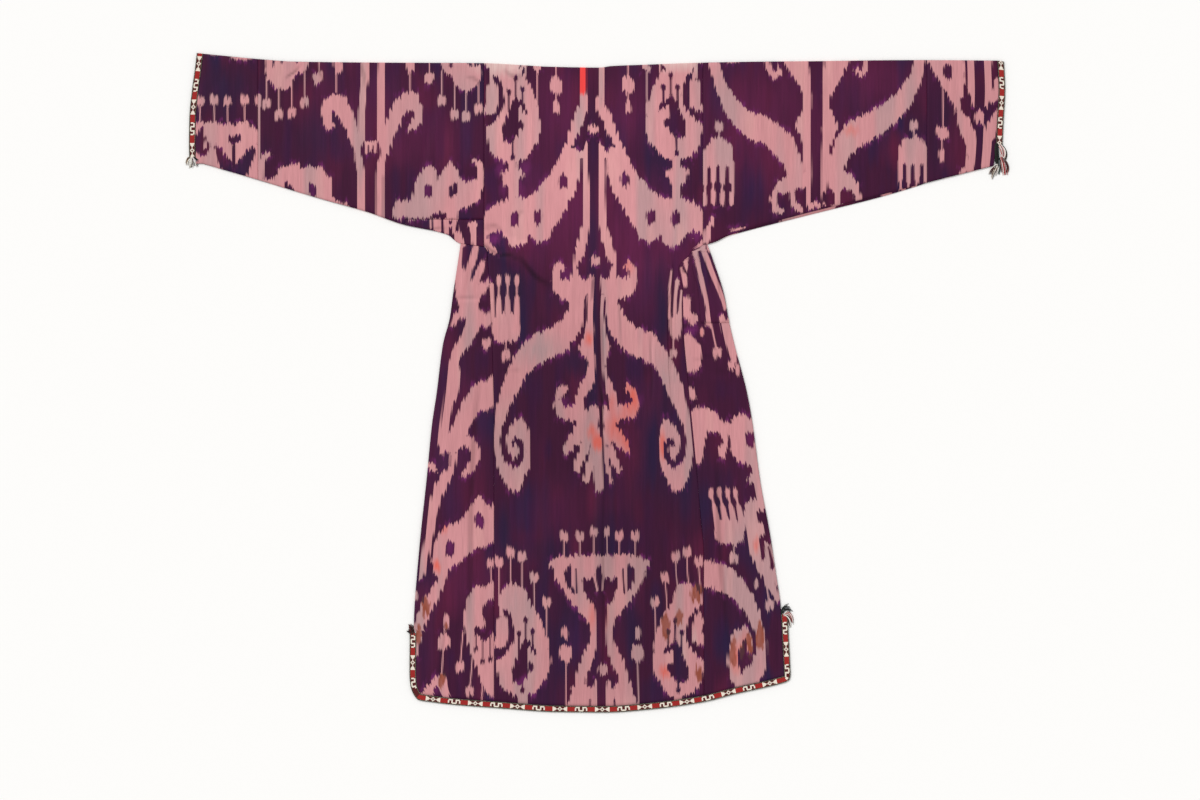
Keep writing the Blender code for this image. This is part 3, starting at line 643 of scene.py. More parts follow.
# Centre panel, left half; the right half mirrors it about the centre line
BACK_PAIRED = (
    # Upper tier: stripes that splay into a two-eyed body, its lobes and hook, the pear above
    line((583, 40, 3.3), (583, 96, 3.3), (585, 102, 3.4), (582.3, 110, 5.4), (577.8, 120, 5.2),
         (575, 130, 4.7), (571.3, 139, 3.4), (567.5, 147, 3.4), (567, 154, 5))
    + stalk(556, 50, 105) + octagon(556.2, 85.5) + teardrop(556.4, 107.5)
    + stalk(537.2, 50, 104) + spot(537.5, 68, 4, 3.6) + stalk(525.5, 50, 76)
    + medallion(512.5, 111.5, lift=8) + line((489, 62, 5), (521, 62, 6))
    + line((513, 156, 4), (513, 203, 4.6)) + pin(512.6, 157, 139) + spot(512.5, 175, 11.5, 4.6)
    + spot(511, 181, 8.5, 5.5)
    + line((570, 157, 10), (567, 171, 13), (562, 184, 15.2), (549, 203, 17.5), (541, 217, 17),
           (540, 231, 11.5))
    + line((552, 205, 14), (530, 216, 19), (513, 221, 22), (503, 222, 19.5), (494, 228, 11))
    + line((516, 222, 15), (516, 233, 13.5)) + line((574, 156, 3.5), (584, 153, 3.2))
    + line((488, 224, 5), (486.4, 240, 3.2), (489, 247, 3.6), (495, 251, 2.6))
    + dark((492, 236, 4.4), (499, 236, 4.4), (505, 243, 4), (511, 253, 4))
    + dark((530, 254, 4.5), (529.6, 241, 2.6), (529.4, 236.5, 1))
    + eye(563, 181) + eye(514.5, 219, 4.4, 7.4) + eye(538, 217.5)
    + line((587.2, 144, 0.8), (585, 152, 3.3), (585, 170, 3.1), (586, 190, 3.3), (586.2, 222, 3.5),
           (583, 240, 4.8), (579, 254, 4.6), (576, 264, 2))
    # Second tier: curls beside a block, great arms that end in spirals
    + line((563.5, 269, 1.6), (560.5, 264.5, 3), (556.3, 270, 3.6), (555.6, 281, 4.3),
           (558.5, 289, 5.5), (566, 293, 7), (576, 292, 8))
    + line((574.5, 267, 1.8), (576, 280, 5), (583, 288, 8.5), (588, 287, 6))
    + line((558, 284, 5), (573, 285, 6))
    + line((577, 296, 7.2), (577, 306, 7), (571.5, 325, 10.6), (558, 340, 13.2), (541, 347.5, 14.2),
           (526, 359, 11.8), (518, 371, 9.6), (509, 390, 8.2), (502, 409, 6), (497.2, 440, 3.5),
           (499.6, 455, 4.6), (504.5, 467, 6.5), (513.5, 477, 10.5), (514, 484, 7.5))
    + line((514, 474, 9), (522, 467, 8), (525.5, 456, 5.4), (526, 440, 4.6))
    + line((520.6, 417.5, 1.2), (519.6, 424, 5.6), (518.6, 432, 9.8), (518.6, 440, 12))
    + line((510, 438, 4), (511, 449, 4), (515.5, 457, 3.2))
    + dark((513.6, 443.5, 2.4), (515, 440.4, 3), (518.6, 440, 2.8), (521.6, 445, 3),
           (522, 452, 3.1), (519.6, 459, 3.4), (514.5, 464.5, 3.6), (508, 460, 3.7),
           (504.4, 451, 3.2), (502.8, 439, 3), (505, 427, 3.2), (510.5, 417, 3.8))
    + line((591, 278, 2.4), (590.6, 300, 3.4), (590.5, 324, 3.6), (588.5, 338, 5.4),
           (586.5, 348, 7.4), (590.5, 357, 4.4), (592, 366, 3.2), (590.5, 376, 4.6),
           (586.5, 386, 6.4), (581.5, 396, 5.4), (579.5, 408, 4.6), (583, 418, 6))
    # Palmette below them
    + line((566.5, 391, 1.6), (564, 387.5, 3.1), (559.6, 393, 3.7), (558, 405, 4.4),
           (562.5, 413, 6), (571, 413, 7), (581, 416, 8.5), (592, 424, 10))
    + dark((561, 399, 1.6), (565, 401.5, 3.6), (569, 400, 3))
    + line((583, 428, 6.5), (573, 441, 6), (566, 450, 4))
    + line((589, 434, 5.5), (584, 449, 4.5), (579.5, 461, 4), (576, 471, 2.6))
    + line((597, 438, 5), (593.5, 455, 4.6), (589.5, 468, 4.2), (586, 480, 2.8))
    + line((594, 411, 5), (597, 424, 11), (597, 436, 9)) + spot(594.5, 400, 10.5, 8, DARK)
    + line((594, 409, 3), (595.5, 416, 5))
    # Lower tier: two-handled vase between stalks and pears
    + bob(564, 536, 560) + bob(580, 536, 560) + bob(593.8, 532, 560, 4)
    + line((553.5, 565, 4), (560, 565, 8), (575, 566.5, 11), (590, 567, 11.5), (602, 568, 11.5))
    + line((566, 573, 12), (575, 583, 14), (582, 596, 12.5), (588, 608, 9), (592.4, 620, 4.6),
           (594, 632, 2.9), (592.5, 645, 4.2), (588.5, 657, 5.9), (583.5, 668, 5.5),
           (581, 677, 4.6), (580, 684, 5.6))
    + line((577, 690, 6), (584, 698, 13), (582, 710, 17))
    + line((596, 682, 1.2), (595.5, 692, 2.8), (595, 712, 3.4))
    + dark((569, 566, 1.4), (567.5, 574, 3.8), (569.6, 584, 2.8), (572.5, 591, 1.6))
    + dark((576, 570, 0.8), (576.6, 594, 1))
    + dark((585.3, 581, 3.2), (588, 588, 5), (594, 596, 6.4), (600, 604, 6.4))
    + dark((590, 699, 0.9), (590, 712, 1))
    + stalk(566, 648, 712) + teardrop(565.2, 633) + octagon(565.8, 653.5)
    + medallion(522.5, 645) + line((522.5, 688, 4.5), (522.5, 712, 4)) + pin(522.5, 690, 676)
    + bob(499, 561, 606) + bob(510.6, 552, 592) + bob(522, 556, 597) + bob(534, 577, 616, lean=0.5)
    + bob(546.6, 602, 640)
)
BACK_SINGLE = (
    spot(593, 129.5, 4.6, 4.6) + dark((593, 120, 0.9), (593, 127, 0.9))
    + spot(595, 261, 4.4, 5) + dark((595, 252, 0.9), (595, 258, 0.9))
    + dark((597, 272, 3.6), (596.5, 300, 4.4), (598.5, 345, 3.6), (599.5, 372, 3.4),
           (600.5, 392, 4.6), (600.5, 402, 5.5))
    + line((599, 440, 8), (598.8, 462, 5.2), (598.5, 480, 4.6), (598.8, 489, 3.8))
    # The next two dark lines are painted shadow of the crease down the back's middle, drawn on the
    # chart as dark ground
    + dark((600.6, 402, 2.4), (600.8, 414, 1.8), (601.2, 427, 3), (602, 436, 1.2))
    + dark((602.4, 436, 0.9), (603.6, 462, 0.8), (604.6, 488, 0.6))
    + dark((599.5, 567, 1.6), (599.5, 576, 4.4), (600, 585, 2.6))
    + line((594.6, 578, 1.3), (597.4, 591, 0.9))
    + line((603.6, 572, 1), (602.4, 590, 0.8))
    + dark((600.5, 600, 7.4), (601, 612, 5.6), (601, 640, 4.6), (601.3, 662, 5.4),
           (601.6, 690, 4.6), (602, 716, 4.4))
    + spot(602.8, 670, 4.4, 5.6) + dark((602.8, 661, 0.9), (602.8, 665, 0.9))
    + dark((701.8, 606.5, 2.4), (701.6, 609.5, 2.8)) + dark((704, 624.5, 1.4), (704.4, 631, 2.6))
    + dark((696, 645.6, 2.2), (700, 648.2, 4.6), (704, 649.4, 6))
    + comb_up(506, 276, 341, 0, (498.8, 507.6, 516.8)) + line((491.5, 284, 2), (492.4, 318, 2.4))
    # The narrow strip beyond the tuck
    + dark((676, 262, 8.5), (676, 352, 8.5))
    + line((671.5, 270, 0.9), (669.8, 286, 1.3), (669.2, 318, 1.2))
    + line((677.5, 281, 2.2), (675.6, 296, 1.7), (674.8, 318, 2))
    + line((681.4, 290, 0.9), (680.4, 304, 1.2), (680, 318, 1.8)) + spot(675.3, 325, 6.2, 14)
    + bob(673.4, 354, 336, 3.8)
    + dark((672.4, 290, 1.1), (672, 317, 1.1))
    + dark((679, 288, 1.2), (677.8, 300, 1.1), (677.6, 313, 0.9))
)

# Sleeves, cuff pieces and gores, each drawn whole. The left gusset reads the sleeve's chart.
SLEEVE_LEFT = (
    line((365, 45, 3.6), (365, 75, 3.6), (363, 96, 3.3), (361.6, 112, 3.3), (361.3, 140, 3.3),
         (358.6, 150, 3.8), (359, 161, 4), (361.2, 173, 3.7), (361.5, 222, 3.6))
    + line((382.2, 45, 3.4), (381, 80, 3.4), (380.2, 115, 3.5), (380.6, 140, 4), (383.5, 152, 3.6),
           (381, 163, 3.9), (379.7, 176, 3.6), (379.6, 226, 3.7))
    + line((358.5, 150, 4.6), (352, 130, 5.6), (346, 114, 6.8), (338, 102.5, 9), (330, 104, 7.6),
           (325.6, 113, 4.6), (327.5, 122, 4.4), (330.5, 126, 3.6))
    + stalk(336.2, 62, 92) + spot(338, 65, 4.4, 7)
    + line((385, 150, 4.6), (388, 137, 5.6), (394, 120, 6.8), (402, 104.5, 7.6), (411, 100.5, 8.8),
           (417.6, 108, 5), (418.3, 118, 4), (414, 125, 4.4), (410.5, 127, 3))
    + spot(370.8, 150, 9.8, 12, DARK) + line((366.4, 143.6, 1.6), (375.2, 143.6, 1.6))
    + line((370.8, 143, 1.9), (370.8, 150, 1.4))
    + line((366.3, 142.6, 1.6), (366.3, 153, 1.2)) + line((375.2, 142.6, 1.6), (375.2, 153, 1.2))
    + stalk(410, 62, 92) + spot(410.4, 65, 4.2, 6.6)
    + stalk(319, 52, 76) + spot(317.6, 78, 4.6, 5.4) + spot(315, 76, 2.4, 3.4)
    + spot(321, 76.5, 2, 5)
    + stalk(429.4, 52, 76) + spot(429.4, 78, 4.5, 5.2) + spot(427, 79, 2, 3.6)
    + line((284, 56, 19), (281, 70, 15.5), (281.5, 79, 10.5), (283, 86, 4))
    + line((288, 66, 14), (299, 64, 9), (306, 57, 5))
    + dark((274, 58, 1.2), (273, 66, 1)) + dark((283, 58, 2), (281.6, 63, 1))
    + dark((298, 58, 2), (297, 63, 1))
    + bob(266.6, 103.5, 78) + bob(278.8, 115, 84) + bob(291.8, 113, 80) + bob(304.6, 102.5, 66)
    + line((258.6, 96, 2.6), (258.6, 106, 2.4)) + line((259, 100, 1), (259.4, 186, 1))
    + line((269, 153, 1.6), (264.5, 156, 3), (261, 163, 3), (260.5, 186, 3))
    + line((262, 186, 8), (275, 186, 7), (286, 183, 13), (292, 182, 17.5), (292, 205, 17))
    + line((313, 182, 16), (315, 187, 18), (316, 206, 16))
    + line((262, 196, 17), (335, 206, 7), (345, 209, 5))
    + dark((286.5, 182, 1.9), (288.4, 189, 3), (291, 190.5, 3.2)) + eye(312.5, 189.5, 4, 6.6)
    + line((460, 56, 18), (463, 68, 15), (466, 78, 12), (466, 86, 6))
    + line((445, 56, 7), (452, 68, 8)) + spot(475, 72, 6.5, 9)
    + dark((451, 60, 1.4), (451, 67, 1.8)) + dark((467, 60, 1.6), (471, 65, 1.8))
    + dark((477, 58, 2), (475, 66, 1))
    + bob(441.8, 101, 70) + bob(454.6, 115, 82) + bob(466, 117, 86) + bob(478.5, 108.5, 76)
    + line((430, 166, 1.5), (428.5, 176, 9), (427, 188, 13), (427, 200, 15))
    + line((450, 164, 1.5), (450, 174, 8.5),
(450, 186, 13.5), (450, 199, 14))
    + line((398.2, 200, 1.2), (399.4, 206, 5), (400, 211, 7.4))
    + line((395.8, 215.4, 3.6), (410, 209.4, 9.4), (424, 208.4, 10),
(436, 203, 9.4), (447, 204, 8.6), (462, 195, 13.4), (470, 192.4, 11), (477.6, 184, 6),
           (481, 172, 2.9), (479.4, 163.4, 3.2), (475, 160.4, 2.4))
    + line((452, 203, 6.5), (452.2, 222, 5))
    + dark((474, 167, 3.2), (474, 175, 4.2)) + eye(428.4, 190.5, 4.2, 6.4)
    + dark((450.8, 188, 1.8), (451.2, 196.5, 2.2)) + dark((455.4, 184, 1.9), (455, 192, 2.6))
    + dark((428, 222, 2), (464, 222, 2))
    + line((430.6, 220, 0.9), (430.8, 228, 0.9)) + line((435.2, 220.6, 2.1), (435.6, 229, 2.1))
    + line((438.8, 220.6, 2.1), (439, 230.6, 2.1))
    + line((446.2, 220.6, 2.6), (446.4, 232.6, 2.3))
    + line((454.8, 220, 2.9), (456, 232, 3.2), (461, 243, 4))
    + dark((457.6, 221, 0.9), (457, 230, 1.8))
    + line((470, 224.6, 2.2), (475.4, 224.6, 2.2))
    + line((473, 226, 4), (474.5, 236, 3), (474.6, 246, 2))
)
CUFF_LEFT = (
    line((212, 54, 1.2), (217, 54.2, 1.4))
    + line((232, 57, 1.3), (246, 58.4, 2.4), (250.5, 57.4, 1.6))
    + bob(200, 101, 124) + bob(214.2, 100, 124) + bob(227.6, 100, 124, 3.8) + bob(244.6, 100, 124)
    + bob(258.4, 100, 124, 3.6)
    + line((200, 136, 13), (246, 136, 13)) + line((198, 152, 16), (250, 158, 16), (258, 176, 14))
    + line((200, 168, 16), (256, 182, 12))
    + dark((221.6, 112, 2.2), (221.4, 124, 1.2)) + dark((235.4, 112, 1.8), (235.4, 125, 1.2))
    + dark((250.4, 112, 2.4), (250.6, 126, 1.4))
    + dark((202, 130, 2), (200.5, 138, 5), (199, 148, 5), (202, 154, 3.4), (208, 149, 2.2),
           (208.5, 144, 1.4))
    + spot(234.7, 139.2, 6.4, 4.4, DARK) + dark((233.8, 140, 1.7), (233.8, 180, 1.9))
    + dark((217, 148.5, 2.6), (221.5, 156, 5), (227.5, 167, 6.8), (233, 182, 9.5))
    + dark((252.6, 149, 3), (249.6, 156, 4.6), (243, 166, 7), (236, 182, 9.5))
)
SLEEVE_RIGHT = (
    line((711, 54, 4), (719, 82, 5.6), (730, 105, 8), (743, 119.5, 11), (757, 128, 12.6),
         (771, 134, 13), (783, 145, 12), (791.5, 160, 8.6), (796, 172, 8.4), (798, 182, 9))
    + line((795, 180, 9), (784, 187, 8.4), (777, 192, 5), (774, 200, 3.9), (776, 208, 3.8),
           (782, 210.5, 2.4))
    + line((790, 186, 4), (791.5, 197, 3.4), (796, 206, 4), (800, 211, 3.2))
    + dark((780, 194, 3), (780.5, 203, 3.4)) + dark((786.5, 195, 3.4), (786.5, 208, 3.6))
    + spot(800.8, 198, 5.6, 8.4, DARK)
    + dark((803, 200, 4), (806.5, 211, 3))
    + line((795, 54, 12.5), (799, 68, 10.5), (804, 82, 6.8), (807.6, 95, 4), (807.8, 108, 3.7),
           (805, 119, 5.4), (802.8, 127, 7.2), (806, 138, 5), (807.4, 150, 3.8), (808, 175, 3.6),
           (808.3, 192, 2.8), (808.6, 204, 1.5))
    + line((766.5, 54, 2.4), (768, 68, 3), (774, 75, 3.4), (779.5, 72, 2.2), (778.6, 66, 1.3))
    + spot(733, 61.5, 5, 2)
    + comb_down(718.6, 139, 207, (709, 717.9, 727.2), 15)
    + line((712, 221, 2.6), (708, 230, 3.5), (706.5, 242, 2.4))
    + line((731, 230.5, 1.4), (745, 228, 1.2))
    + line((838, 54, 14), (834.5, 68, 10.5), (830.5, 80, 8.5), (826.4, 94, 4.4), (826, 108, 3.8),
           (828.6, 118, 6), (829.6, 127, 8), (828, 136, 6), (825.6, 148, 4), (824.9, 175, 3.5),
           (824.2, 192, 2.8), (823.6, 204, 1.3))
    + line((921, 52, 5), (916.5, 75, 6.3), (908, 93, 8), (897, 107, 10), (884, 117.5, 12),
           (869, 126.5, 13), (855, 134, 13), (846, 144, 11.3), (839, 157, 8.6), (836, 170, 8),
           (836, 184, 8.2))
    + line((838, 178, 8.4), (848, 182, 7.4), (855, 189, 4.7), (858, 198, 3.5), (859, 205, 3))
    + line((837, 186, 3), (837, 206, 2.4))
    + spot(829, 197, 5.6, 8.4, DARK) + dark((843.5, 195, 2.8), (851, 195, 3.6), (848, 202, 3))
    + line((832, 205.5, 1.3), (842, 205.5, 1.3))
    + line((866.5, 56, 1.8), (865.4, 70, 2.4), (860.4, 73.5, 3), (856, 70, 1.9))
    + comb_down(913.4, 137, 196, (904.6, 912.6, 921.8), 14.6)
    + line((811, 206, 3), (819, 204, 2.4))
)
CUFF_RIGHT = (
    line((944, 52, 19), (949, 68, 16), (953, 81, 12), (956, 94, 7.4), (957.6, 106, 3.6),
         (960.5, 116, 3))
    + line((959, 114, 3.4), (963.5, 122, 6), (969, 134, 6.8), (971.6, 145, 5.4), (971.4, 158, 4),
           (969, 170, 4), (962.5, 172, 3.4))
    + eye(948, 71, 4.6, 7.6) + dark((964, 99, 4), (966, 106, 5), (972, 112, 4))
    + line((971.2, 50, 3.5), (971.2, 88, 3.6), (972.6, 97, 2.6), (974, 105, 1.1))
    + line((988.2, 50, 3.7), (988.2, 94, 3.4), (986.6, 105, 1.8))
    + line((996, 80, 2.4), (996.4, 97, 3.4)) + line((993.6, 92, 4), (992.4, 100, 1.6))
    + spot(979.8, 117, 5, 6.6) + dark((979.6, 126, 0.9), (979.6, 121, 0.8))
    + line((997, 113, 3), (991.6, 127, 6.4), (987.2, 140, 5), (986, 156, 4), (986, 172, 4))
    + stalk(943, 78, 132) + spot(942.6, 133, 6, 6) + spot(937.6, 131, 2, 4) + stalk(942, 138, 152)
    + teardrop(941.8, 155)
    + line((921, 146, 5), (923, 158, 5), (925.5, 190, 1.6))
)
GORE_LEFT = (
    line((466, 292, 6), (468, 303, 9.5), (471, 316, 9.5), (474, 325, 7), (467, 338, 6.4),
         (459, 350, 5.4), (453.6, 361, 4.6), (454, 377, 6.8), (452, 392, 6.6), (447.5, 408, 4.4),
         (446.5, 425, 6), (447, 440, 9.5), (447, 448, 8))
    + line((462, 238, 4.8), (460.4, 262, 3.4), (459.4, 280, 4.4), (462, 298, 6))
    + line((477, 240, 2.2), (474, 257, 3.6), (468.6, 270, 3.3), (464.5, 288, 5))
    + line((484.4, 260, 1.1), (481, 268, 3.1), (476, 281, 4), (470, 294, 6))
    + line((491.6, 282, 3.8), (485, 285.5, 3.8), (478.6, 292.5, 4.6), (472, 301, 7))
    + line((474, 319, 7.2), (497, 320, 6.6))
    + line((462, 314, 4.4), (456, 318, 3.4), (451.6, 327, 1.6))
    + dark((464.6, 248, 2), (463.2, 262, 1.5), (462.4, 268, 0.8))
    + dark((463, 321, 3.2), (460, 327, 4.6), (453, 334, 5.4), (446, 341, 6))
    + spot(486.5, 343, 4.6, 5)
    + line((496, 392, 15.5), (481, 397, 13), (470, 408, 9.6), (460, 425, 9.6), (453, 441, 11),
           (448, 450, 8))
    + dark((460.6, 395, 1.8), (456.6, 406, 4.4), (452.4, 419, 2.8), (449.6, 430, 0.9))
    + line((463, 439, 4), (470, 442.5, 5), (475, 451, 4.6), (475.2, 461, 4.2), (469.5, 469.5, 4.6),
           (463.5, 474, 2.4))
    + dark((468.4, 452.5, 2.4), (467, 460, 3.8), (461, 464, 3), (455.5, 472, 3), (452, 482, 2.6))
    + dark((447.6, 455, 3.6), (446.4, 464, 5.4), (440.5, 470, 3.6), (436, 476, 1.6))
    + line((453.6, 456, 3.4), (451.6, 474, 2.2))
    + line((450, 470, 2.6), (446.6, 476, 5), (440.4, 487, 5.5), (436.2, 499, 5), (433, 513, 4.4),
           (430, 530, 4), (427, 547, 3.8), (424.4, 562, 3.4), (421.6, 578, 2))
    + line((431, 466, 3.2), (435, 471.5, 2.2)) + spot(416, 596, 2, 4.6)
    + line((480.5, 501, 4), (480, 511, 10.5), (479.5, 524, 14))
    + line((493.4, 506, 1.2), (492, 517, 4.4), (490, 529, 11))
    + line((478, 521, 14), (462, 535, 12), (450.5, 536.5, 11), (443.5, 547, 9.4), (438, 560, 6.6))
    + line((494, 530, 13.4), (478, 533, 13.6), (462, 543, 13.6), (450, 554, 12), (442, 565, 9),
           (440.6, 578, 6), (436.4, 590, 4.8), (429.4, 603, 6), (422.4, 617, 5.6),
           (418.4, 630, 4.7), (416.4, 643, 3.6), (416, 656, 1.6))
    + eye(479.4, 521.4, 4.8, 7.4) + eye(449.8, 549.6, 5, 7.8)
    + dark((430.5, 573, 2), (433, 580, 4.6), (428, 588, 3.4))
    + teardrop(446.4, 622, 2.9, 7.6) + octagon(443.6, 642, 6, 7.6) + stalk(444.5, 628, 678, lean=-3)
    + line((441, 678, 4), (435, 688, 7), (424, 697, 4), (419, 699, 3))
    + line((442, 680, 4), (446, 693, 3.6), (447, 704, 2))
    + dark((436.6, 691, 3.2), (438, 702, 6))
    + line((496, 600, 17), (486, 604, 19), (481, 619, 18), (481, 636, 15), (487, 656, 14.5),
           (491, 674, 12), (496, 690, 9))
    + spot(490, 613, 8, 12.5, DARK) + dark((493, 625, 7.5), (485, 632, 7.4), (478, 632.5, 4.2))
    + spot(479.6, 621, 5.2, 6.6)
    + bob(476, 650, 634, 2.3, DARK) + bob(482.6, 661, 634, 2.3, DARK)
    + bob(490.2, 660, 634, 2.3, DARK)
    + bob(460, 667, 632, 4.6, lean=3) + bob(469.6, 692, 655, 4.2, lean=3)
    + stalk(481.6, 704, 680, lean=0.8)
    + bob(490.6, 563.6, 590, 3.9, lean=1)
)
GORE_RIGHT = (
    line((693.6, 246, 2.6), (697.4, 262, 2.3), (701.4, 280, 2.4), (705.2, 297, 2.2),
         (707.8, 309, 1.8), (708.2, 318, 2.6), (708.6, 324, 3.2))
    + line((701, 244, 2.6), (706.4, 258, 2.6), (712.4, 273, 2.6), (717.6, 286, 2.4), (722, 298, 2),
           (725.4, 309, 1.4))
    + line((694, 241, 4), (702, 243, 4)) + line((708, 246, 2), (709, 251, 1.2))
    + line((722, 318, 3), (727.6, 330, 6),
(731.6, 345, 4.8), (734, 360, 2.8))
    + spot(731.6, 366, 3.4, 4.8) + spot(737.6, 370, 2, 6.2) + bob(717.2, 353, 324, 4.6, lean=-6)
    + spot(702, 333, 2, 4.4)
    + line((686, 301, 4.4), (686, 311, 4.2), (689, 316, 4), (694, 319, 3.8))
    + line((683, 298.5, 2), (690, 299, 1.6))
    + line((693, 322, 3), (696, 322, 1.8)) + line((687.6, 339, 6), (691.6, 350, 9), (692, 362, 9.6))
    + line((690, 388, 2.4), (693.4, 396, 3.2))
    + line((687.4, 257, 1), (685.6, 262, 2.3), (686.8, 270, 1))
    + line((680.6, 267, 0.8), (684.4, 276, 2.6), (685.4, 285, 2.1))
    + line((697, 413, 6), (700, 425, 8.4), (699.6, 442, 5.2), (699, 460, 3))
    + line((702, 416, 8.5), (713, 424, 9.4),
(722, 431, 5.4), (725.4, 440, 3), (723, 449, 4), (721, 455, 4.2))
    + dark((713, 438, 4), (717.4, 440, 6), (711, 449, 7), (713, 466, 8))
    + line((729, 424, 4), (734, 432, 7), (741, 428, 13), (742, 440, 13.4), (745, 450, 13),
           (751, 459, 8), (755.4, 471, 4.4), (758.4, 486, 4.6), (761, 497, 4))
    + dark((728.6, 418, 1.6), (731, 424, 1.2)) + eye(750, 440, 4.4, 8)
    + dark((741, 467, 3.4), (748, 470.5, 4.6))
    + line((756, 476, 3), (750.8, 480, 3.6)) + dark((729, 436, 1.2), (729.6, 446, 1.4))
    + comb_up(722, 489, 544, 9.5, (711, 719.2, 727.6, 735.4))
    + line((752, 507, 7), (751, 520, 8.4), (752.4, 532, 6.4), (754.6, 545, 6.6), (760.4, 560, 6.8),
           (767, 575, 5.8), (773, 590, 4), (778, 600, 2)) + line((759, 501, 4), (762, 508, 3))
    + spot(761, 517, 4, 6, DARK) + teardrop(761.4, 530.5, 3.2, 6.4)
    + line((766.6, 545, 3), (768.6, 560, 4), (773, 576, 4.6)) + line((773, 546, 2.4), (778, 584, 3))
    + dark((760.6, 540, 1.8), (762.6, 552, 1.9), (763, 558, 2.2))
    + dark((768.6, 547, 1), (771.6, 560, 1.3), (772.4, 567, 2.2))
    + bob(769.8, 606, 572, 4.5, lean=-5.5) + spot(756.4, 584, 2, 5)
    + line((700, 571, 13), (716, 576, 12.8), (728, 582, 12), (739, 592, 10.4), (748, 603.6, 8),
           (754.4, 616, 6), (758.6, 629, 5), (761.6, 644, 5), (761, 657, 6), (757, 669, 8),
           (750, 678.6, 9.6), (742, 683, 9), (735.4, 676, 6), (732.6, 664, 5), (733.6, 650, 5),
           (738, 638, 6), (744, 632.6, 5.6), (749.4, 639, 3.6), (749.6, 649, 3))
)

# Clouds of other dyes on the figures and on the ground: (dye, how much of the layers' sum is
# lost, the most that is left, then each layer's strength, breadth, height and seed)
FIGURE_CLOUDS = (
    ("ash_rose", 1.4, 0.75, (1.5, 10, 150, 0), (1.4, 26, 120, 1)),
    ("blush", 0.95, 1, (1.5, 10, 60, 3)),
)
GROUND_CLOUDS = (
    ("indigo", 1.6, 1, (2.2, 18, 46, 4), (1, 6, 160, 5)),
    ("wine", 1.12, 1, (2.1, 16, 50, 6)),
    ("violet", 0.9, 1, (1.6, 9, 30, 7)),
)
FIGURE_STREAK, GROUND_STREAK = 0.12, 0.18      # how much single streaks lighten or darken
GROUND_TONE = (0.2, 0.76)      # share of the ground that no area changes, and the share it does

# Colours that ran or were dabbed over the figures, in turn: each dye with its ovals, which are
# (x, y, half breadth, half height, strength)
DABS = (
    ("bleached", ((503, 64, 34, 13, 0.75), (680, 62, 30, 11, 0.7))),
    ("scarlet", ((583, 77, 8, 16.5, 4),)),
    ("coral", (
        (588.6, 340, 4.6, 9, 1), (592, 432, 6, 9, 0.8), (597.6, 443, 6.4, 10, 1.5),
        (632, 400, 13, 24, 1), (618, 428, 13, 18, 0.9), (628, 444, 9, 13, 0.9),
        (612, 404, 6, 12, 0.5), (663, 445, 4, 17, 1.2), (665, 672, 7, 8, 0.9),
        (592, 616, 5, 22, 0.45), (604.6, 616, 5, 20, 0.45), (437, 567, 4.4, 8, 1),
        (756, 545, 3.6, 9, 0.8), (851, 131, 9, 7, 0.5), (626, 267, 9, 10, 0.5),
        (444, 527, 5, 8, 0.7), (745, 645, 8, 16, 0.5), (736, 660, 6, 18, 0.8),
        (701, 335, 3, 9, 0.3),
    )),
    ("blush", ((596, 150, 30, 40, 0.5),)),
    ("rust", (
        (697, 592, 7.6, 11, 1.7), (665.4, 626, 4.6, 19, 1.6), (679, 619, 4, 9, 1.1),
        (698.6, 673, 4.2, 9, 1.3), (760, 636, 5.4, 15, 1.6), (749.6, 643, 4, 14, 1.4),
        (733, 655, 4, 17, 0.9), (742, 652, 3.4, 10, 0.9), (424.6, 609, 5.2, 12, 1.5),
        (418.4, 636, 3.2, 11, 1.5), (441.4, 680, 4.6, 8, 1.4), (446.4, 628, 2.4, 7, 1.2),
    )),
    ("ash_rose", (
        (538, 350, 32, 22, 0.8), (604, 345, 5, 70, 0.9), (512, 445, 24, 50, 0.5),
        (668, 380, 24, 60, 0.7), (676, 450, 14, 40, 0.5), (579, 118, 8, 26, 0.7),
        (601, 85, 4, 26, 0.9), (512, 606, 26, 34, 0.6), (492, 95, 14, 26, 0.5),
        (528, 660, 16, 30, 0.5), (582, 590, 14, 20, 0.5), (580, 660, 9, 26, 0.5),
    )),
    ("oat", ((694, 640, 4, 14, 0.6), (684, 650, 6, 30, 0.4))),
)
TONES = (              # lighter and darker areas: x, y, breadth, height, share of brightness
    (575, 150, 120, 110, 0.13), (720, 250, 50, 70, 0.07), (585, 450, 80, 130, -0.15),
    (655, 560, 80, 90, -0.13), (610, 670, 130, 60, -0.1), (440, 690, 50, 50, 0.04),
    (985, 130, 50, 90, -0.06), (500, 400, 60, 90, -0.06),
)
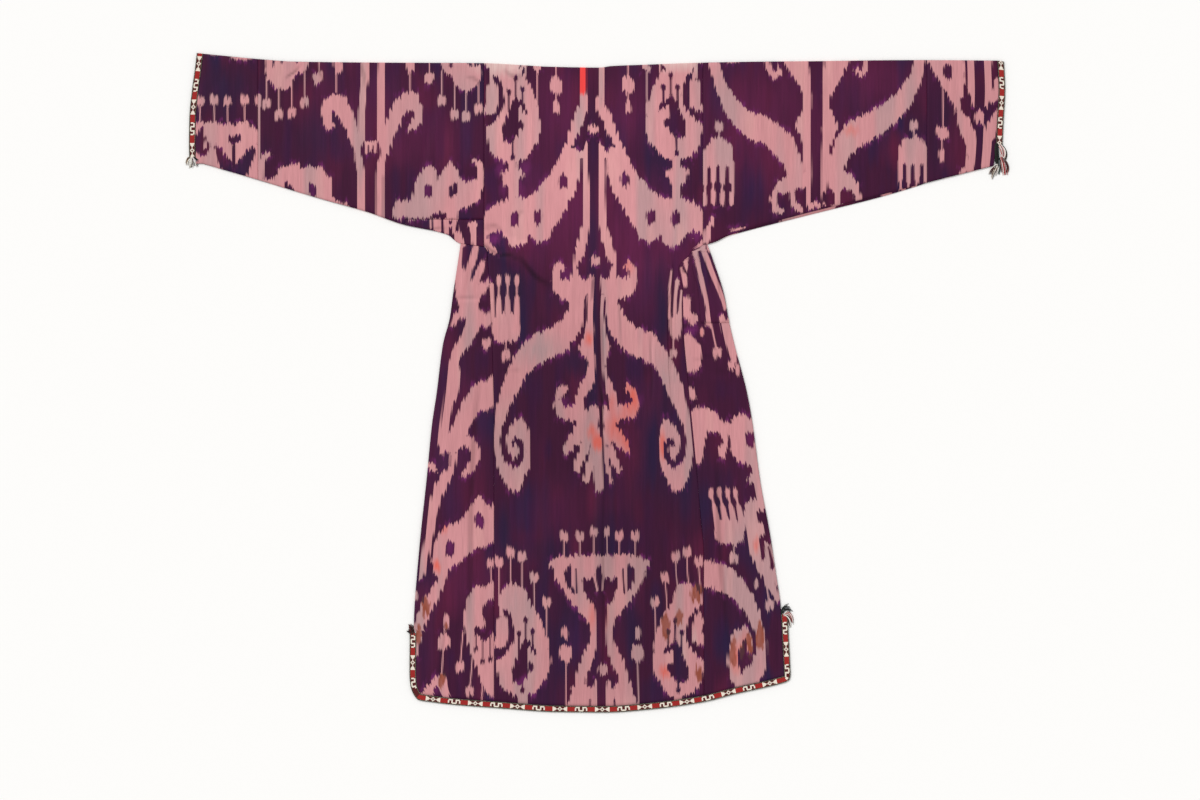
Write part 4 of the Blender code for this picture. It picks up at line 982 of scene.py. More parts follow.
GROUND_DABS = (        # the same as DABS, for the ground
    ("magenta", (
        (514.5, 219, 7, 10, 1), (538, 217.5, 6, 9, 0.7), (563, 181, 6, 9, 0.7),
        (623, 180, 6, 9, 0.7), (650, 214, 6, 9, 0.6), (671, 217, 6, 9, 0.7), (493, 238, 10, 8, 0.9),
        (696, 235, 9, 8, 0.9), (691, 330, 9, 5, 1), (561, 401, 10, 6, 0.7), (637, 401, 8, 8, 0.7),
        (566, 273, 8, 10, 0.7), (627, 272, 8, 10, 0.6), (480, 522, 6, 9, 0.7),
        (450, 549, 6, 9, 0.5), (500, 170, 6, 10, 0.7), (526, 168, 6, 10, 0.7),
        (521, 190, 6, 9, 0.7), (503, 190, 5, 9, 0.7), (524, 681, 8, 7, 0.6), (436, 691, 8, 6, 0.7),
        (750, 440, 6, 10, 0.5), (428, 190, 6, 9, 0.5), (312, 189, 6, 9, 0.5),
        (573, 640, 10, 30, 0.2), (541, 680, 8, 10, 0.4),
    )),
    ("mulberry", (
        (560, 210, 70, 70, 1), (640, 245, 60, 80, 1), (556, 110, 30, 60, 0.8),
        (630, 110, 30, 55, 0.8), (370, 110, 70, 60, 0.6), (770, 120, 100, 80, 0.8),
        (430, 140, 60, 40, 0.5), (470, 580, 40, 40, 0.6), (450, 440, 40, 100, 0.5),
        (560, 510, 60, 40, 0.35), (880, 80, 60, 30, 0.7), (720, 300, 40, 60, 0.4),
    )),
    ("navy", (
        (503, 530, 10, 36, 1.1), (512, 290, 24, 44, 0.8), (560, 296, 22, 26, 0.5),
        (662, 310, 9, 60, 1.1), (575, 362, 18, 18, 0.7), (665, 430, 36, 64, 0.7),
        (530, 552, 44, 14, 0.6), (593, 330, 7, 150, 0.9), (601, 530, 7, 80, 0.8),
        (564, 620, 16, 44, 0.6), (629, 628, 16, 48, 0.8), (322, 135, 34, 36, 0.7),
        (228, 90, 28, 30, 0.8), (592, 200, 8, 100, 0.8), (655, 150, 24, 44, 0.6),
        (572, 150, 16, 14, 0.7), (940, 130, 22, 80, 0.5), (690, 480, 60, 40, 0.5),
        (425, 640, 14, 50, 0.4), (745, 620, 40, 50, 0.35), (250, 150, 30, 20, 0.4),
    )),
)


def reach(x, y, points):
    """Distance from a chart shape, below nought inside it. A line is the nearest of its tapered
    lengths; a spot is a rounded oval measured by how far its own scale must grow."""
    if len(points[0]) == 4:
        middle, height, across, down = points[0]
        scale = np.abs((x - middle) / across) ** OVAL + np.abs((y - height) / down) ** OVAL
        scale = scale ** (1 / OVAL)
        return (scale - 1) * min(across, down)
    nearest = np.full_like(x, 1e3)
    for (x0, y0, half0), (x1, y1, half1) in zip(points, points[1:]):
        run_x, run_y = x1 - x0, y1 - y0
        along = ((x - x0) * run_x + (y - y0) * run_y) / max(run_x ** 2 + run_y ** 2, 1e-6)
        along = np.clip(along, 0, 1)
        away = np.hypot(x - x0 - along * run_x, y - y0 - along * run_y)
        nearest = np.minimum(nearest, away - half0 - (half1 - half0) * along)
    return nearest


def dyed(shapes, x, y, depth=None, pair=None):
    """Depth inside the rose figures, below nought on the dark ground. Each row of the chart
    adds to what is rose or takes away from it, in turn, on both places of a pair. x holds the
    middle of each bundle of warp and then of each column, and y its slipped row and then one
    that has slipped less, by which shapes as small as a bundle are read."""
    depth = np.full_like(x[0], GROUND_DEPTH) if depth is None else depth
    for tone, points in shapes:
        small = int(max(point[2] for point in points) < SMALL)
        away = reach(x[small], y[small], points)
        if pair is not None:
            away = np.minimum(away, reach(pair[0][small], pair[1][small], points))
        depth = np.maximum(depth, -away) if tone == ROSE else np.minimum(depth, away)
    return depth


def mirrored(x, y):
    """Place on the chart's left half that shows at a place on its right half: as far from
    the centre line, further by the cloth taken in between, and lower by the slant of the
    shoulder."""
    middle = read(CENTRE, "y", "x")(y)
    near, far, slant = (read(TAKEN_IN, "y", name)(y) for name in ("near", "far", "slant"))
    inner = np.clip((x - middle - NEAR_SHARE[0]) / NEAR_SHARE[1], 0, 1)
    outer = np.clip((x - FAR_SHARE[0]) / FAR_SHARE[1], 0, 1)
    outer = outer * outer * (3 - 2 * outer)
    return 2 * middle - x - near * inner - far * outer, y + slant * outer


def back_chart(x, y):
    """Depth on the back panel: the paired figures, then the single ones."""
    depth = dyed(BACK_PAIRED, x, y, pair=mirrored(x, y))
    return dyed(BACK_SINGLE, x, y, depth)


def chart(shapes):
    """A function that reads one piece's chart."""
    return lambda x, y: dyed(shapes, x, y)


def next_length(x, y):
    """The loom's next length, for layers out of sight: the centre panel's figures again, one
    repeat on and running the other way, as on cloth carried over the shoulder."""
    row = 2 * CHART_TOP + REPEAT - y
    row = np.where(row < CHART_TOP, row + REPEAT, row)
    spread = (x - NEXT_LEFT) % NEXT_BREADTH + NEXT_LEFT
    return dyed(BACK_PAIRED, spread, row, pair=(2 * NEXT_MIDDLE - spread, row))


def bundles(columns, seed):
    """The bundle of warp that each column belongs to: one to three columns are tied together."""
    source = np.random.default_rng(seed)
    return np.repeat(np.arange(columns), source.choice((1, 2, 2, 3), columns))[:columns]


def slips(bundle, seed):
    """How far each column of warp has slipped, in chart rows, at its middle and then beyond
    that at its left and right edges: a bundle slips together, its columns a little by
    themselves, and its ends are pointed, two straight slopes that meet at its peak."""
    source = np.random.default_rng(seed + 1)
    columns = len(bundle)
    slip = source.uniform(-BUNDLE_SLIP, BUNDLE_SLIP, columns)[bundle]
    slip = slip + source.uniform(-COLUMN_SLIP, COLUMN_SLIP, columns)
    first = np.searchsorted(bundle, bundle, "left")
    count = np.searchsorted(bundle, bundle, "right") - first
    peak = source.choice((0.0, 1.0), columns)[bundle]
    peak = np.where(count > 1, (1 + (count > 2) * (peak > 0)) / count, peak)
    tall = source.uniform(*POINT_HEIGHTS, columns)[bundle]
    place = np.arange(columns) - first + np.array(((0.0,), (0.5,), (1.0,)))
    point = tall * (0.5 - np.abs(place / count - peak) / np.maximum(peak, 1 - peak))
    return slip + point[1], point[0] - point[1], point[2] - point[1]


def tint(name):
    """A dye as seen, turned to linear light and set to the studio's brightness."""
    seen = np.array(DYES[name]) / 255
    return np.where(seen > 0.04045, ((seen + 0.055) / 1.055) ** 2.4, seen / 12.92) * EXPOSURE


def mixed(under, over, share):
    """Two colours blended by a share at each point."""
    return under + (over - under) * np.clip(share, 0, 1)[..., None]


def clouded(dye, clouds, x, y, seed):
    """A dye with soft clouds of others over it, where the sum of their layers is enough."""
    look = np.broadcast_to(tint(dye), (*x.shape, 3))
    for over, lack, most, *layers in clouds:
        share = sum(strength * cloud(x, y, wide, tall, seed + place)
                    for strength, wide, tall, place in layers)
        look = mixed(look, tint(over), np.minimum(share - lack, most))
    return look


def dabs(table, x, y):
    """Each oval of the table in turn: its dye, the distance from its middle, which is one on
    its rim, and its strength."""
    for dye, ovals in table:
        for middle, height, across, down, strength in ovals:
            yield dye, np.hypot((x - middle) / across, (y - height) / down), strength


def colours(x, y, seed):
    """Colour of the figures and of the ground at each place: bands that follow the warp, soft
    clouds where dye took unevenly, single streaks, dabs of other colours, and broad bells where the
    cloth is lighter or darker."""
    figure = clouded("salmon", FIGURE_CLOUDS, x, y, seed)
    ground = clouded("plum", GROUND_CLOUDS, x, y, seed)
    for dye, away, strength in dabs(GROUND_DABS, x, y):
        share = strength * np.clip(1.1 - away, 0, 0.8) * (0.6 + 0.7 * cloud(x, y, 8, 40, 22))
        ground = mixed(ground, tint(dye), share)
    streak = cloud(x, y, 1.6, 46, seed + 2) - 0.5
    figure = figure * (1 + FIGURE_STREAK * streak)[..., None]
    ground = ground * (1 + GROUND_STREAK * streak)[..., None]
    for dye, away, strength in dabs(DABS, x, y):
        patch = cloud(x, y, 3, 9, 21)
        if dye == "rust":
            away = away + 0.7 * (patch - 0.5) + 0.5 * (cloud(x, y, 1.6, 4, 24) - 0.5)
            share = np.clip(4 - 4.2 * away, 0, 1) * min(strength, 1) * (0.8 + 0.3 * patch)
            ground = mixed(ground, tint("umber"), 0.5 * share)
        else:
            share = strength * np.clip(1.15 - away, 0, 1) * (0.75 + 0.5 * patch)
        figure = mixed(figure, tint(dye), share)
    tone = np.ones_like(x)
    for middle, height, across, down, share in TONES:
        tone += share * np.exp(-((x - middle) / across) ** 2 - ((y - height) / down) ** 2)
    return figure * tone[..., None], ground * (GROUND_TONE[0] + GROUND_TONE[1] * tone)[..., None]


def painted_crease_shade(x, drop):
    """Share of brightness that painted shade leaves in the creases' troughs, and that a painted
    highlight adds on their ridges."""
    return 1 + CREASE_PAINTED_SHADE * np.clip(pressed(SHARP_CREASES, x, drop), *PAINTED_SHADE_LIMITS)


def wound(ring, outward):
    """The corners of a face in the order in which it looks up, or down for -1."""
    return ring if outward < 0 else ring[::-1]


def corners(left, right, outward):
    """Values at the rows' ends of each column, on its left edge and on its right one, laid out
    for the four corners of each face. No column shares them with the next, so edges stay crisp."""
    ring = (left[:, :-1], right[:, :-1], right[:, 1:], left[:, 1:])
    return np.stack(wound(ring, outward), axis=2)


def grid_mesh(name, x, drop, z, outward):
    """Mesh of a grid of points; outward is 1 if the grid's faces look up."""
    columns, rows = x.shape
    points = np.stack((x, TOP_Y - drop, z), axis=-1) * MM
    number = np.arange(columns * rows).reshape(columns, rows)
    ring = (number[:-1, :-1], number[1:, :-1], number[1:, 1:], number[:-1, 1:])
    return mesh_of(name, points, np.stack(wound(ring, outward), axis=2))


def mesh_of(name, points, quads):
    """Mesh from arrays of points and of four-cornered faces."""
    data = bpy.data.meshes.new(name)
    data.vertices.add(points.size // 3)
    data.vertices.foreach_set("co", points.ravel())
    data.loops.add(quads.size)
    data.loops.foreach_set("vertex_index", quads.ravel().astype(np.int32))
    data.polygons.add(quads.size // 4)
    data.polygons.foreach_set("loop_start", np.arange(0, quads.size, 4, dtype=np.int32))
    data.update(calc_edges=True)
    data.shade_smooth()
    return data


def carry(data, name, values):
    """Attribute on the corners of a mesh: a number, or a colour if the values have three."""
    if values.ndim == 4:
        made = data.attributes.new(name, "FLOAT_COLOR", "CORNER")
        full = np.concatenate((values, np.ones((*values.shape[:-1], 1))), axis=-1)
        made.data.foreach_set("color", full.ravel().astype(np.float32))
    else:
        made = data.attributes.new(name, "FLOAT", "CORNER")
        made.data.foreach_set("value", values.ravel().astype(np.float32))


def lay(data, name, places):
    """UV map of a mesh, from a place for each corner."""
    layer = data.uv_layers.new(name=name)
    layer.data.foreach_set("uv", places.ravel().astype(np.float32))


def piece(name, data, finish, wall=None):
    """Object for a mesh, with its finish and, for cloth, a wall behind its outer face."""
    data.materials.append(finish)
    made = bpy.data.objects.new(name, data)
    bpy.context.scene.collection.objects.link(made)
    if wall:
        shell = made.modifiers.new("wall", "SOLIDIFY")
        shell.thickness = wall * MM
        shell.offset = -1
        shell.use_even_offset = True
    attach(made, "root")
    return made


def declare(node):
    """Hide the part of model.glb that a sheet stands for."""
    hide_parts(node)


def ikat(node, grid, look, outward=1, wall=SILK, under=None):
    """One piece of ikat. look reads the chart for its upper layer, and the first "under" rows
    of a folded piece read the loom's next length."""
    x, drop, z = grid
    seed = SEEDS[node]
    data = grid_mesh(f"{node}_cloth", x, drop, z, outward)
    middle_x = CHART_MIDDLE + between(x) / CHART_UNIT
    middle_y = CHART_TOP + between(drop) / CHART_UNIT
    bundle = bundles(len(middle_x), seed)
    slip, to_left, to_right = slips(bundle, seed)
    row = middle_y + slip[:, None]
    rows = np.stack((row, middle_y + SMALL_SLIP * slip[:, None]))
    first = np.searchsorted(bundle, bundle, "left")
    last = np.searchsorted(bundle, bundle, "right") - 1
    warp = np.stack(((middle_x[first] + middle_x[last]) / 2, middle_x))
    if under:
        depth = np.concatenate((next_length(warp[..., :under], rows[..., :under]),
                                look(warp[..., under:], rows[..., under:])), axis=1)
    else:
        depth = look(warp, rows)
    figure, ground = colours(middle_x, row, seed)
    # Painted shade in the sharp creases and a painted highlight on their ridges, in both colours
    painted_shade = painted_crease_shade(between(x), between(drop))[..., None]
    figure, ground = figure * painted_shade, ground * painted_shade
    step = np.gradient(row, axis=1)
    slope = np.clip(np.gradient(depth, axis=1) / np.where(np.abs(step) < 0.05, 0.05, step), -1, 1)
    at_left, at_right = (depth + slope * ends[:, None] for ends in (to_left, to_right))
    carry(data, "depth", corners(at_left, at_right, outward))
    # The figure and ground colours carried here hold the creases' painted shade as well as the dyes
    for name, values in (("tip", np.abs(slope)), ("figure_dye_and_shade", figure), ("ground_dye_and_shade", ground)):
        carry(data, name, corners(values, values, outward))
    made = piece(data.name, data, IKAT, wall)
    declare(node)
    return made


def back_panel():
    """Centre back with the shoulder fold, and the tuck with its rounded fold on the right.
    The cloth climbs to the tuck by the cube of its place across."""
    left, right = shifted(seam_left, SEAM_GAP / 2), shifted(seam_right, -SEAM_GAP / 2)
    rows = stations(FIRST_STATION, FINE[1])
    across = spaced(BREADTHS["back"], FINE[0])
    across_side = spaced(BREADTHS["beyond_tuck"], BEYOND_TUCK)
    x_main, drop_main = panel(left, tuck_line, across, rows)
    x_side, drop_side = panel(shifted(tuck_line, TUCK_RUN), right, across_side, rows)
    steps = TUCK_FOLD[1:-1]
    x_fold = np.stack([x_main[-1] + share * (x_side[0] - x_main[-1]) for share, _ in steps])
    drop_fold = np.stack([drop_main[-1] for _ in steps])
    x = np.concatenate((x_main, x_fold, x_side))
    drop = np.concatenate((drop_main, drop_fold, drop_side))
    climb = np.concatenate((across ** 3, [height for _, height in steps], np.zeros(len(x_side))))
    rise = sunk(lie(x, drop) + tuck_rise(drop) * climb[:, None])
    rise[:, -1] -= SEAM_SINK
    lip = np.linspace(0, FOLD_LIP, 4)[None, :]
    lower = np.repeat(x[:, :1], 4, axis=1), drop[:, :1] + lip
    grid = folded((x, drop), lower, rise, np.zeros_like(lower[0]))
    ikat("back_panel", grid, back_chart)
    return x, drop


def front_panel(side):
    """Half width beneath the back, cut along the neckline and down the centre."""
    top = shifted(shoulder, FOLD_RADIUS + FOLD_LIP + SEAM_GAP)
    edges = {
        "left": (shifted(seam_left, SEAM_GAP / 2), front_edge("left")),
        "right": (front_edge("right"), shifted(seam_right, -SEAM_GAP / 2)),
    }
    rows = stations(FIRST_STATION, PLAIN[1])
    x, drop = panel(*edges[side], spaced(BREADTHS["front"], PLAIN[0]), rows, top, FRONT_INSET)
    ikat(f"front_panel_{side}", (x, drop, np.zeros_like(x)), next_length, outward=-1)
    return x, drop


def front_edge(side):
    """Cut edge of one front: the neckline, then straight down beside the centre."""
    gap = TRIM_WIDTH + SEAM_GAP + FRONT_EDGE_GAP / 2
    straight = CENTRE_FRONT + (-gap if side == "left" else gap)
    drops = np.append(column(NECKLINE, "drop"), (FRONT_EDGE_FROM, LENGTH))
    xs = np.append(column(NECKLINE, side), (straight, straight))
    return lambda at: smooth(drops, xs, at)


def gore(layer, side):
    """Side gore from the underarm to the hem, for the back or for a front."""
    half = SEAM_GAP / 2
    inset = FRONT_INSET if layer == "front" else 0.0
    edges = {
        "left": (shifted(side_left, inset), shifted(seam_left, -half), underarm_left),
        "right": (shifted(seam_right, half), shifted(side_right, -inset), underarm_right),
    }
    left, right, top = edges[side]
    step = FINE if layer == "back" else PLAIN
    rows = stations(ARMPIT, step[1])
    across = spaced(BREADTHS["gore"], step[0])
    x, drop = panel(left, right, across, rows, shifted(top, SEAM_GAP), inset)
    if layer == "front":
        ikat(f"gore_front_{side}", (x, drop, np.zeros_like(x)), next_length, outward=-1)
    else:
        rise = sunk(lie(x, drop), left=side == "right", right=side == "left", foot=True)
        look = chart(GORE_LEFT if side == "left" else GORE_RIGHT)
        ikat(f"gore_back_{side}", (x, drop, TOP_LEVEL + rise), look)
    return x, drop


def gore_patch(grid):
    """Pieced top of the right gore, felled down on it."""
    x, drop = grid
    first = int(round(PATCH_FROM * (len(x) - 1)))
    middle = drop[len(x) // 2]
    rows = slice(*np.searchsorted(middle, PATCH_ROWS))
    x, drop = x[first:, rows], drop[first:, rows].copy()
    slant = PATCH_SLANT * np.linspace(0, 1, len(x))
    drop[:, -4:] -= slant[:, None] * np.linspace(0, 1, 4)[None, :]
    height = PATCH_LEVEL + lie(x, drop)
    edge = np.full(height.shape, True)
    edge[1:-1, 1:-1] = False
    height[edge] -= PATCH_EDGE
    ikat("gore_patch_right", (x, drop, height), chart(GORE_RIGHT), wall=PATCH_WALL)


def sleeve_piece(node, left, right, bottom, look, columns=None, lower=None):
    """Flattened tube folded along its top, from one side line to another."""
    if columns is None:
        columns = spaced(BREADTHS[node], FINE[0])
    top = shifted(shoulder, FOLD_RADIUS)
    upper = rectangle(left, right, top, bottom, columns, spaced(SLEEVE_HALF_ROUND, SLEEVE_ROW))
    under = rectangle(left, right, top, lower or bottom, columns,
                      spaced(SLEEVE_HALF_ROUND, PLAIN[1]))
    rise = sunk(lie(*upper))
    rise[:, -2:] -= SLEEVE_FOOT
    grid = folded(upper, under, rise, np.zeros_like(under[0]))
    ikat(node, grid, look, under=under[0].shape[1] + FOLD_STEPS // 2)


def sleeves():
    """Two sleeves and the cuff pieces at their ends."""
    half = SEAM_GAP / 2

    def left_bottom(x):
        return np.where(x < GUSSET_FROM, underarm_left(x), GUSSET_DROP - half)

    def right_lower(x):
        start, end, by = LOWER_LAYER_SHOWS
        place = np.clip((x - start) / (end - start), 0, 1)
        return underarm_right(x) + by * np.sqrt(np.sin(math.pi * place))

    left_seam, right_seam = SLEEVE_SEAMS
    armhole_left, armhole_right = ARMHOLES[0] - half, ARMHOLES[1] + half
    # Two columns close together make the step in the left sleeve's edge where the gusset starts
    gusset_at = (GUSSET_FROM - left_seam) / (armhole_left - left_seam)
    across = spaced(BREADTHS["sleeve_left"], FINE[0])
    nearest = np.argmin(np.abs(across - gusset_at))
    across[nearest] = gusset_at - 0.001
    across = np.sort(np.append(across, gusset_at + 1e-6))
    sleeve_piece("sleeve_left", fixed(left_seam + half), fixed(armhole_left), left_bottom,
                 chart(SLEEVE_LEFT), across)
    sleeve_piece("sleeve_right", fixed(armhole_right), fixed(right_seam - half), underarm_right,
                 chart(SLEEVE_RIGHT), lower=right_lower)
    inner_left = shifted(cuff_left, TRIM_WIDTH + SEAM_GAP)
    inner_right = shifted(cuff_right, -TRIM_WIDTH - SEAM_GAP)
    sleeve_piece("cuff_piece_left", inner_left, fixed(left_seam - half), underarm_left,
                 chart(CUFF_LEFT))
    sleeve_piece("cuff_piece_right", fixed(right_seam + half), inner_right, underarm_right,
                 chart(CUFF_RIGHT))


def gusset():
    """Small underarm gusset of the left sleeve, folded along the sleeve's lower edge."""
    upper_edge = fixed(GUSSET_DROP + SEAM_GAP / 2)
    near_fold = shifted(underarm_left, -FOLD_RADIUS)
    armhole = fixed(ARMHOLES[0] - SEAM_GAP / 2)
    grid = rectangle(fixed(GUSSET_FROM + SEAM_GAP), armhole, near_fold, upper_edge,
                     spaced(BREADTHS["gusset"], FINE[0]), spaced(GUSSET_HEIGHT, GUSSET_ROW))
    rise = sunk(lie(*grid), foot=True)
    ikat("gusset_left", folded(grid, grid, rise, np.zeros_like(rise), sense=-1),
         chart(SLEEVE_LEFT), outward=-1)


# The woven edging: seven rows of cells between two twisted cords, on red where there is no
# figure and on maroon round one. "#" is a pale cell.
BAND_CELL = 1.387      # length of a cell along the edging
BAND_PLAIN = 11        # cells of plain red before each figure
CORD = 2.0             # breadth of a cord
PLY_ALONG, PLY_ACROSS = 2.7, 2.6       # one turn of a cord's ply
WEFT_PITCH = 0.46      # between two wefts of the edging
BAND_SWAY = 0.25       # slight waviness of the edging on the robe's back
SAME_POINT = 0.05      # points of a path nearer than this are one
CORNER_CELLS = 9       # cells over which a corner is rounded
BAND_STARTS = {        # cells of the pattern that are over before a strip starts
    "trim_back": 40, "trim_front_left": 0, "trim_front_right": 30, "trim_cuff_left": 39,
    "trim_cuff_right": 9,
}
# The stretch of the back's edging, in millimetres along it, that is folded in at the hem's
# left corner and shows no figures, and the cells by which the pattern starts anew after it
BAND_BARE = {"trim_back": (109, 122, -4)}
BAND_FIGURES = ((
    "##........#........##",
    "####.....###.....####",
    "#####...##.##...#####",
    "#########...#########",
    "#####...##.##...#####",
    "####.....###.....####",
    "##........#........##",
), (
    ".######....######.",
    ".######....######.",
    "##...##....##...##",
    "##...##....##...##",
    "##...##....##...##",
    "##...########...##",
    "......######......",
))
# Across the edging, from the sewn edge out: place and height over the band
BAND_PROFILE = (
    ("place", "height"),
    (0, -0.5), (0.35, 0.15), (1.05, 0.45), (1.75, 0.15), (2, -0.2),
    (3.29, 0), (4.57, 0), (5.86, 0), (7.14, 0), (8.43, 0), (9.71, 0), (11, -0.2),
    (11.25, 0.15), (11.95, 0.45), (12.65, 0.15), (13, -0.5),
)


def edging(node, x, drop, z, along, outward):
    """Edging on a grid whose columns cross it and whose rows are the cells along it."""
    data = grid_mesh(f"{node}_woven", x, drop, z, outward)
    place = column(BAND_PROFILE, "place")
    middle = between(place)
    cells = [np.array([[mark == "#" for mark in row] for row in figure], dtype=float)
             for figure in BAND_FIGURES]
    cells = np.concatenate([np.pad(part, ((0, 0), (BAND_PLAIN, 0))) for part in cells], axis=1)
    maroon = [np.arange(len(figure[0]) + BAND_PLAIN) >= BAND_PLAIN for figure in BAND_FIGURES]
    rows, repeat = cells.shape
    cell_row = np.round((middle - CORD) / (TRIM_WIDTH - 2 * CORD) * rows - 0.5).astype(int)
    bare_from, bare_to, lost = BAND_BARE.get(node, (0, 0, 0))
    turn = np.arange(x.shape[1] - 1) + BAND_STARTS[node] + lost * (along[:-1] > bare_from)
    turn = turn % repeat
    pale = cells[np.clip(cell_row, 0, rows - 1)[:, None], turn[None, :]]
    folded_in = (along[:-1] > bare_from) & (along[:-1] < bare_to)
    pale[:, folded_in] = 0.0
    round_figure = (np.concatenate(maroon)[turn] | folded_in)[None, :] * np.ones_like(pale)
    cord = ((middle < CORD) | (middle > TRIM_WIDTH - CORD)).astype(float)[:, None]
    cord = cord * np.ones_like(pale)
    for name, values in (("pale", pale * (1 - cord)), ("round_figure", round_figure),
                         ("cord", cord)):
        carry(data, name, np.repeat(values[:, :, None], 4, axis=2))
    u = np.broadcast_to(along[None, :], x.shape)
    v = np.broadcast_to(place[:, None], x.shape)
    near, far = slice(None, -1), slice(1, None)
    ring = ((near, near), (far, near), (far, far), (near, far))
    uv = np.stack([np.stack((u[part], v[part]), axis=-1) for part in wound(ring, outward)], axis=2)
    lay(data, "along_and_across", uv)
    made = piece(data.name, data, EDGING, BAND)
    declare(node)


def underside(height):
    """Height of a hidden edging's upper face over its level: three tenths of what its own
    profile lacks below the cords' shoulders."""
    return np.maximum(0.15 - height, 0) * 0.3


def strip(node, path, level, outward):
    """Edging beside a path: evenly spaced cells along it, each cross line square to the
    path's own direction, smoothed over the corners. The cross lines run to the path's other
    hand, so the mesh is laid out the other way up."""
    path = np.array(path, dtype=float)
    step = np.linalg.norm(np.diff(path, axis=0), axis=1)
    path = path[np.append(True, step > SAME_POINT)]
    reached = np.append(0, np.cumsum(np.linalg.norm(np.diff(path, axis=0), axis=1)))
    count = int(round(reached[-1] / BAND_CELL))
    along = np.linspace(0, reached[-1], count + 1)
    points = np.stack([np.interp(along, reached, path[:, axis]) for axis in (0, 1)], axis=1)
    run = np.gradient(points, axis=0)
    window = np.ones(CORNER_CELLS) / CORNER_CELLS
    padded = np.pad(run, ((CORNER_CELLS // 2, CORNER_CELLS // 2), (0, 0)), mode="edge")
    run = unit(np.stack([np.convolve(padded[:, axis], window, "valid") for axis in (0, 1)], axis=1))
    square = np.stack((-run[:, 1], run[:, 0]), axis=1)
    offset = SEAM_GAP + column(BAND_PROFILE, "place")
    grid = points[None, :, :] + square[None, :, :] * offset[:, None, None]
    height = column(BAND_PROFILE, "height")[:, None]
    if outward > 0:
        sway = BAND_SWAY * (cloud(along, np.zeros_like(along), 60, 1, 5) - 0.5)[None, :]
        z = level + height + sway
    else:
        z = level + underside(height)
    z = np.broadcast_to(z, grid.shape[:2])
    edging(node, grid[..., 0], grid[..., 1], z, along, -outward)


def cuff_edging(node, left, right, end, flip):
    """Edging round a cuff: both layers and the fold, across from its sewn edge."""
    place = column(BAND_PROFILE, "place") / TRIM_WIDTH
    height = column(BAND_PROFILE, "height")
    if flip:
        place, height = 1 - place[::-1], height[::-1]
    top = shifted(shoulder, FOLD_RADIUS)
    rows = spaced(end - CUFF_TRIM_FROM, BAND_CELL)
    upper = rectangle(left, right, top, fixed(end), place, rows)
    rise = np.broadcast_to(height[:, None], upper[0].shape)
    under = np.broadcast_to(underside(height)[:, None], upper[0].shape)
    x, drop, z = folded(upper, upper, rise, under)
    along = np.arange(x.shape[1]) * BAND_CELL
    if flip:
        x, drop, z = x[::-1], drop[::-1], z[::-1]
    edging(node, x, drop, z, along, -1 if flip else 1)


def body_edgings(back, gores, fronts):
    """Edgings of the slits and hems, and of the fronts' cut edges."""
    left_top, right_top = SLIT_TOPS
    every, last = slice(None), -1

    def points(grid, columns, rows):
        return list(zip(grid[0][columns, rows].ravel(), grid[1][columns, rows].ravel()))

    def slit(grid, at, top):
        return [point for point in points(grid, at, every) if point[1] >= top]

    path = slit(gores["back", "left"], 0, left_top)
    for grid in (gores["back", "left"], back, gores["back", "right"]):
        path += points(grid, every, last)
    path += slit(gores["back", "right"], last, right_top)[::-1]
    strip("trim_back", path, TOP_LEVEL, 1)
    path = slit(gores["front", "left"], 0, left_top)
    for grid in (gores["front", "left"], fronts["left"]):
        path += points(grid, every, last)
    path += points(fronts["left"], last, slice(1, None))[::-1]
    strip("trim_front_left", path, 0.0, -1)
    path = points(fronts["right"], 0, slice(1, None))
    for grid in (fronts["right"], gores["front", "right"]):
        path += points(grid, every, last)
    path += slit(gores["front", "right"], last, right_top)[::-1]
    strip("trim_front_right", path, 0.0, -1)


def parabola(t):
    """Shares of root, bend and end at each place along a lock."""
    return np.stack(((1 - t) ** 2, 2 * t * (1 - t), t ** 2), axis=-1)


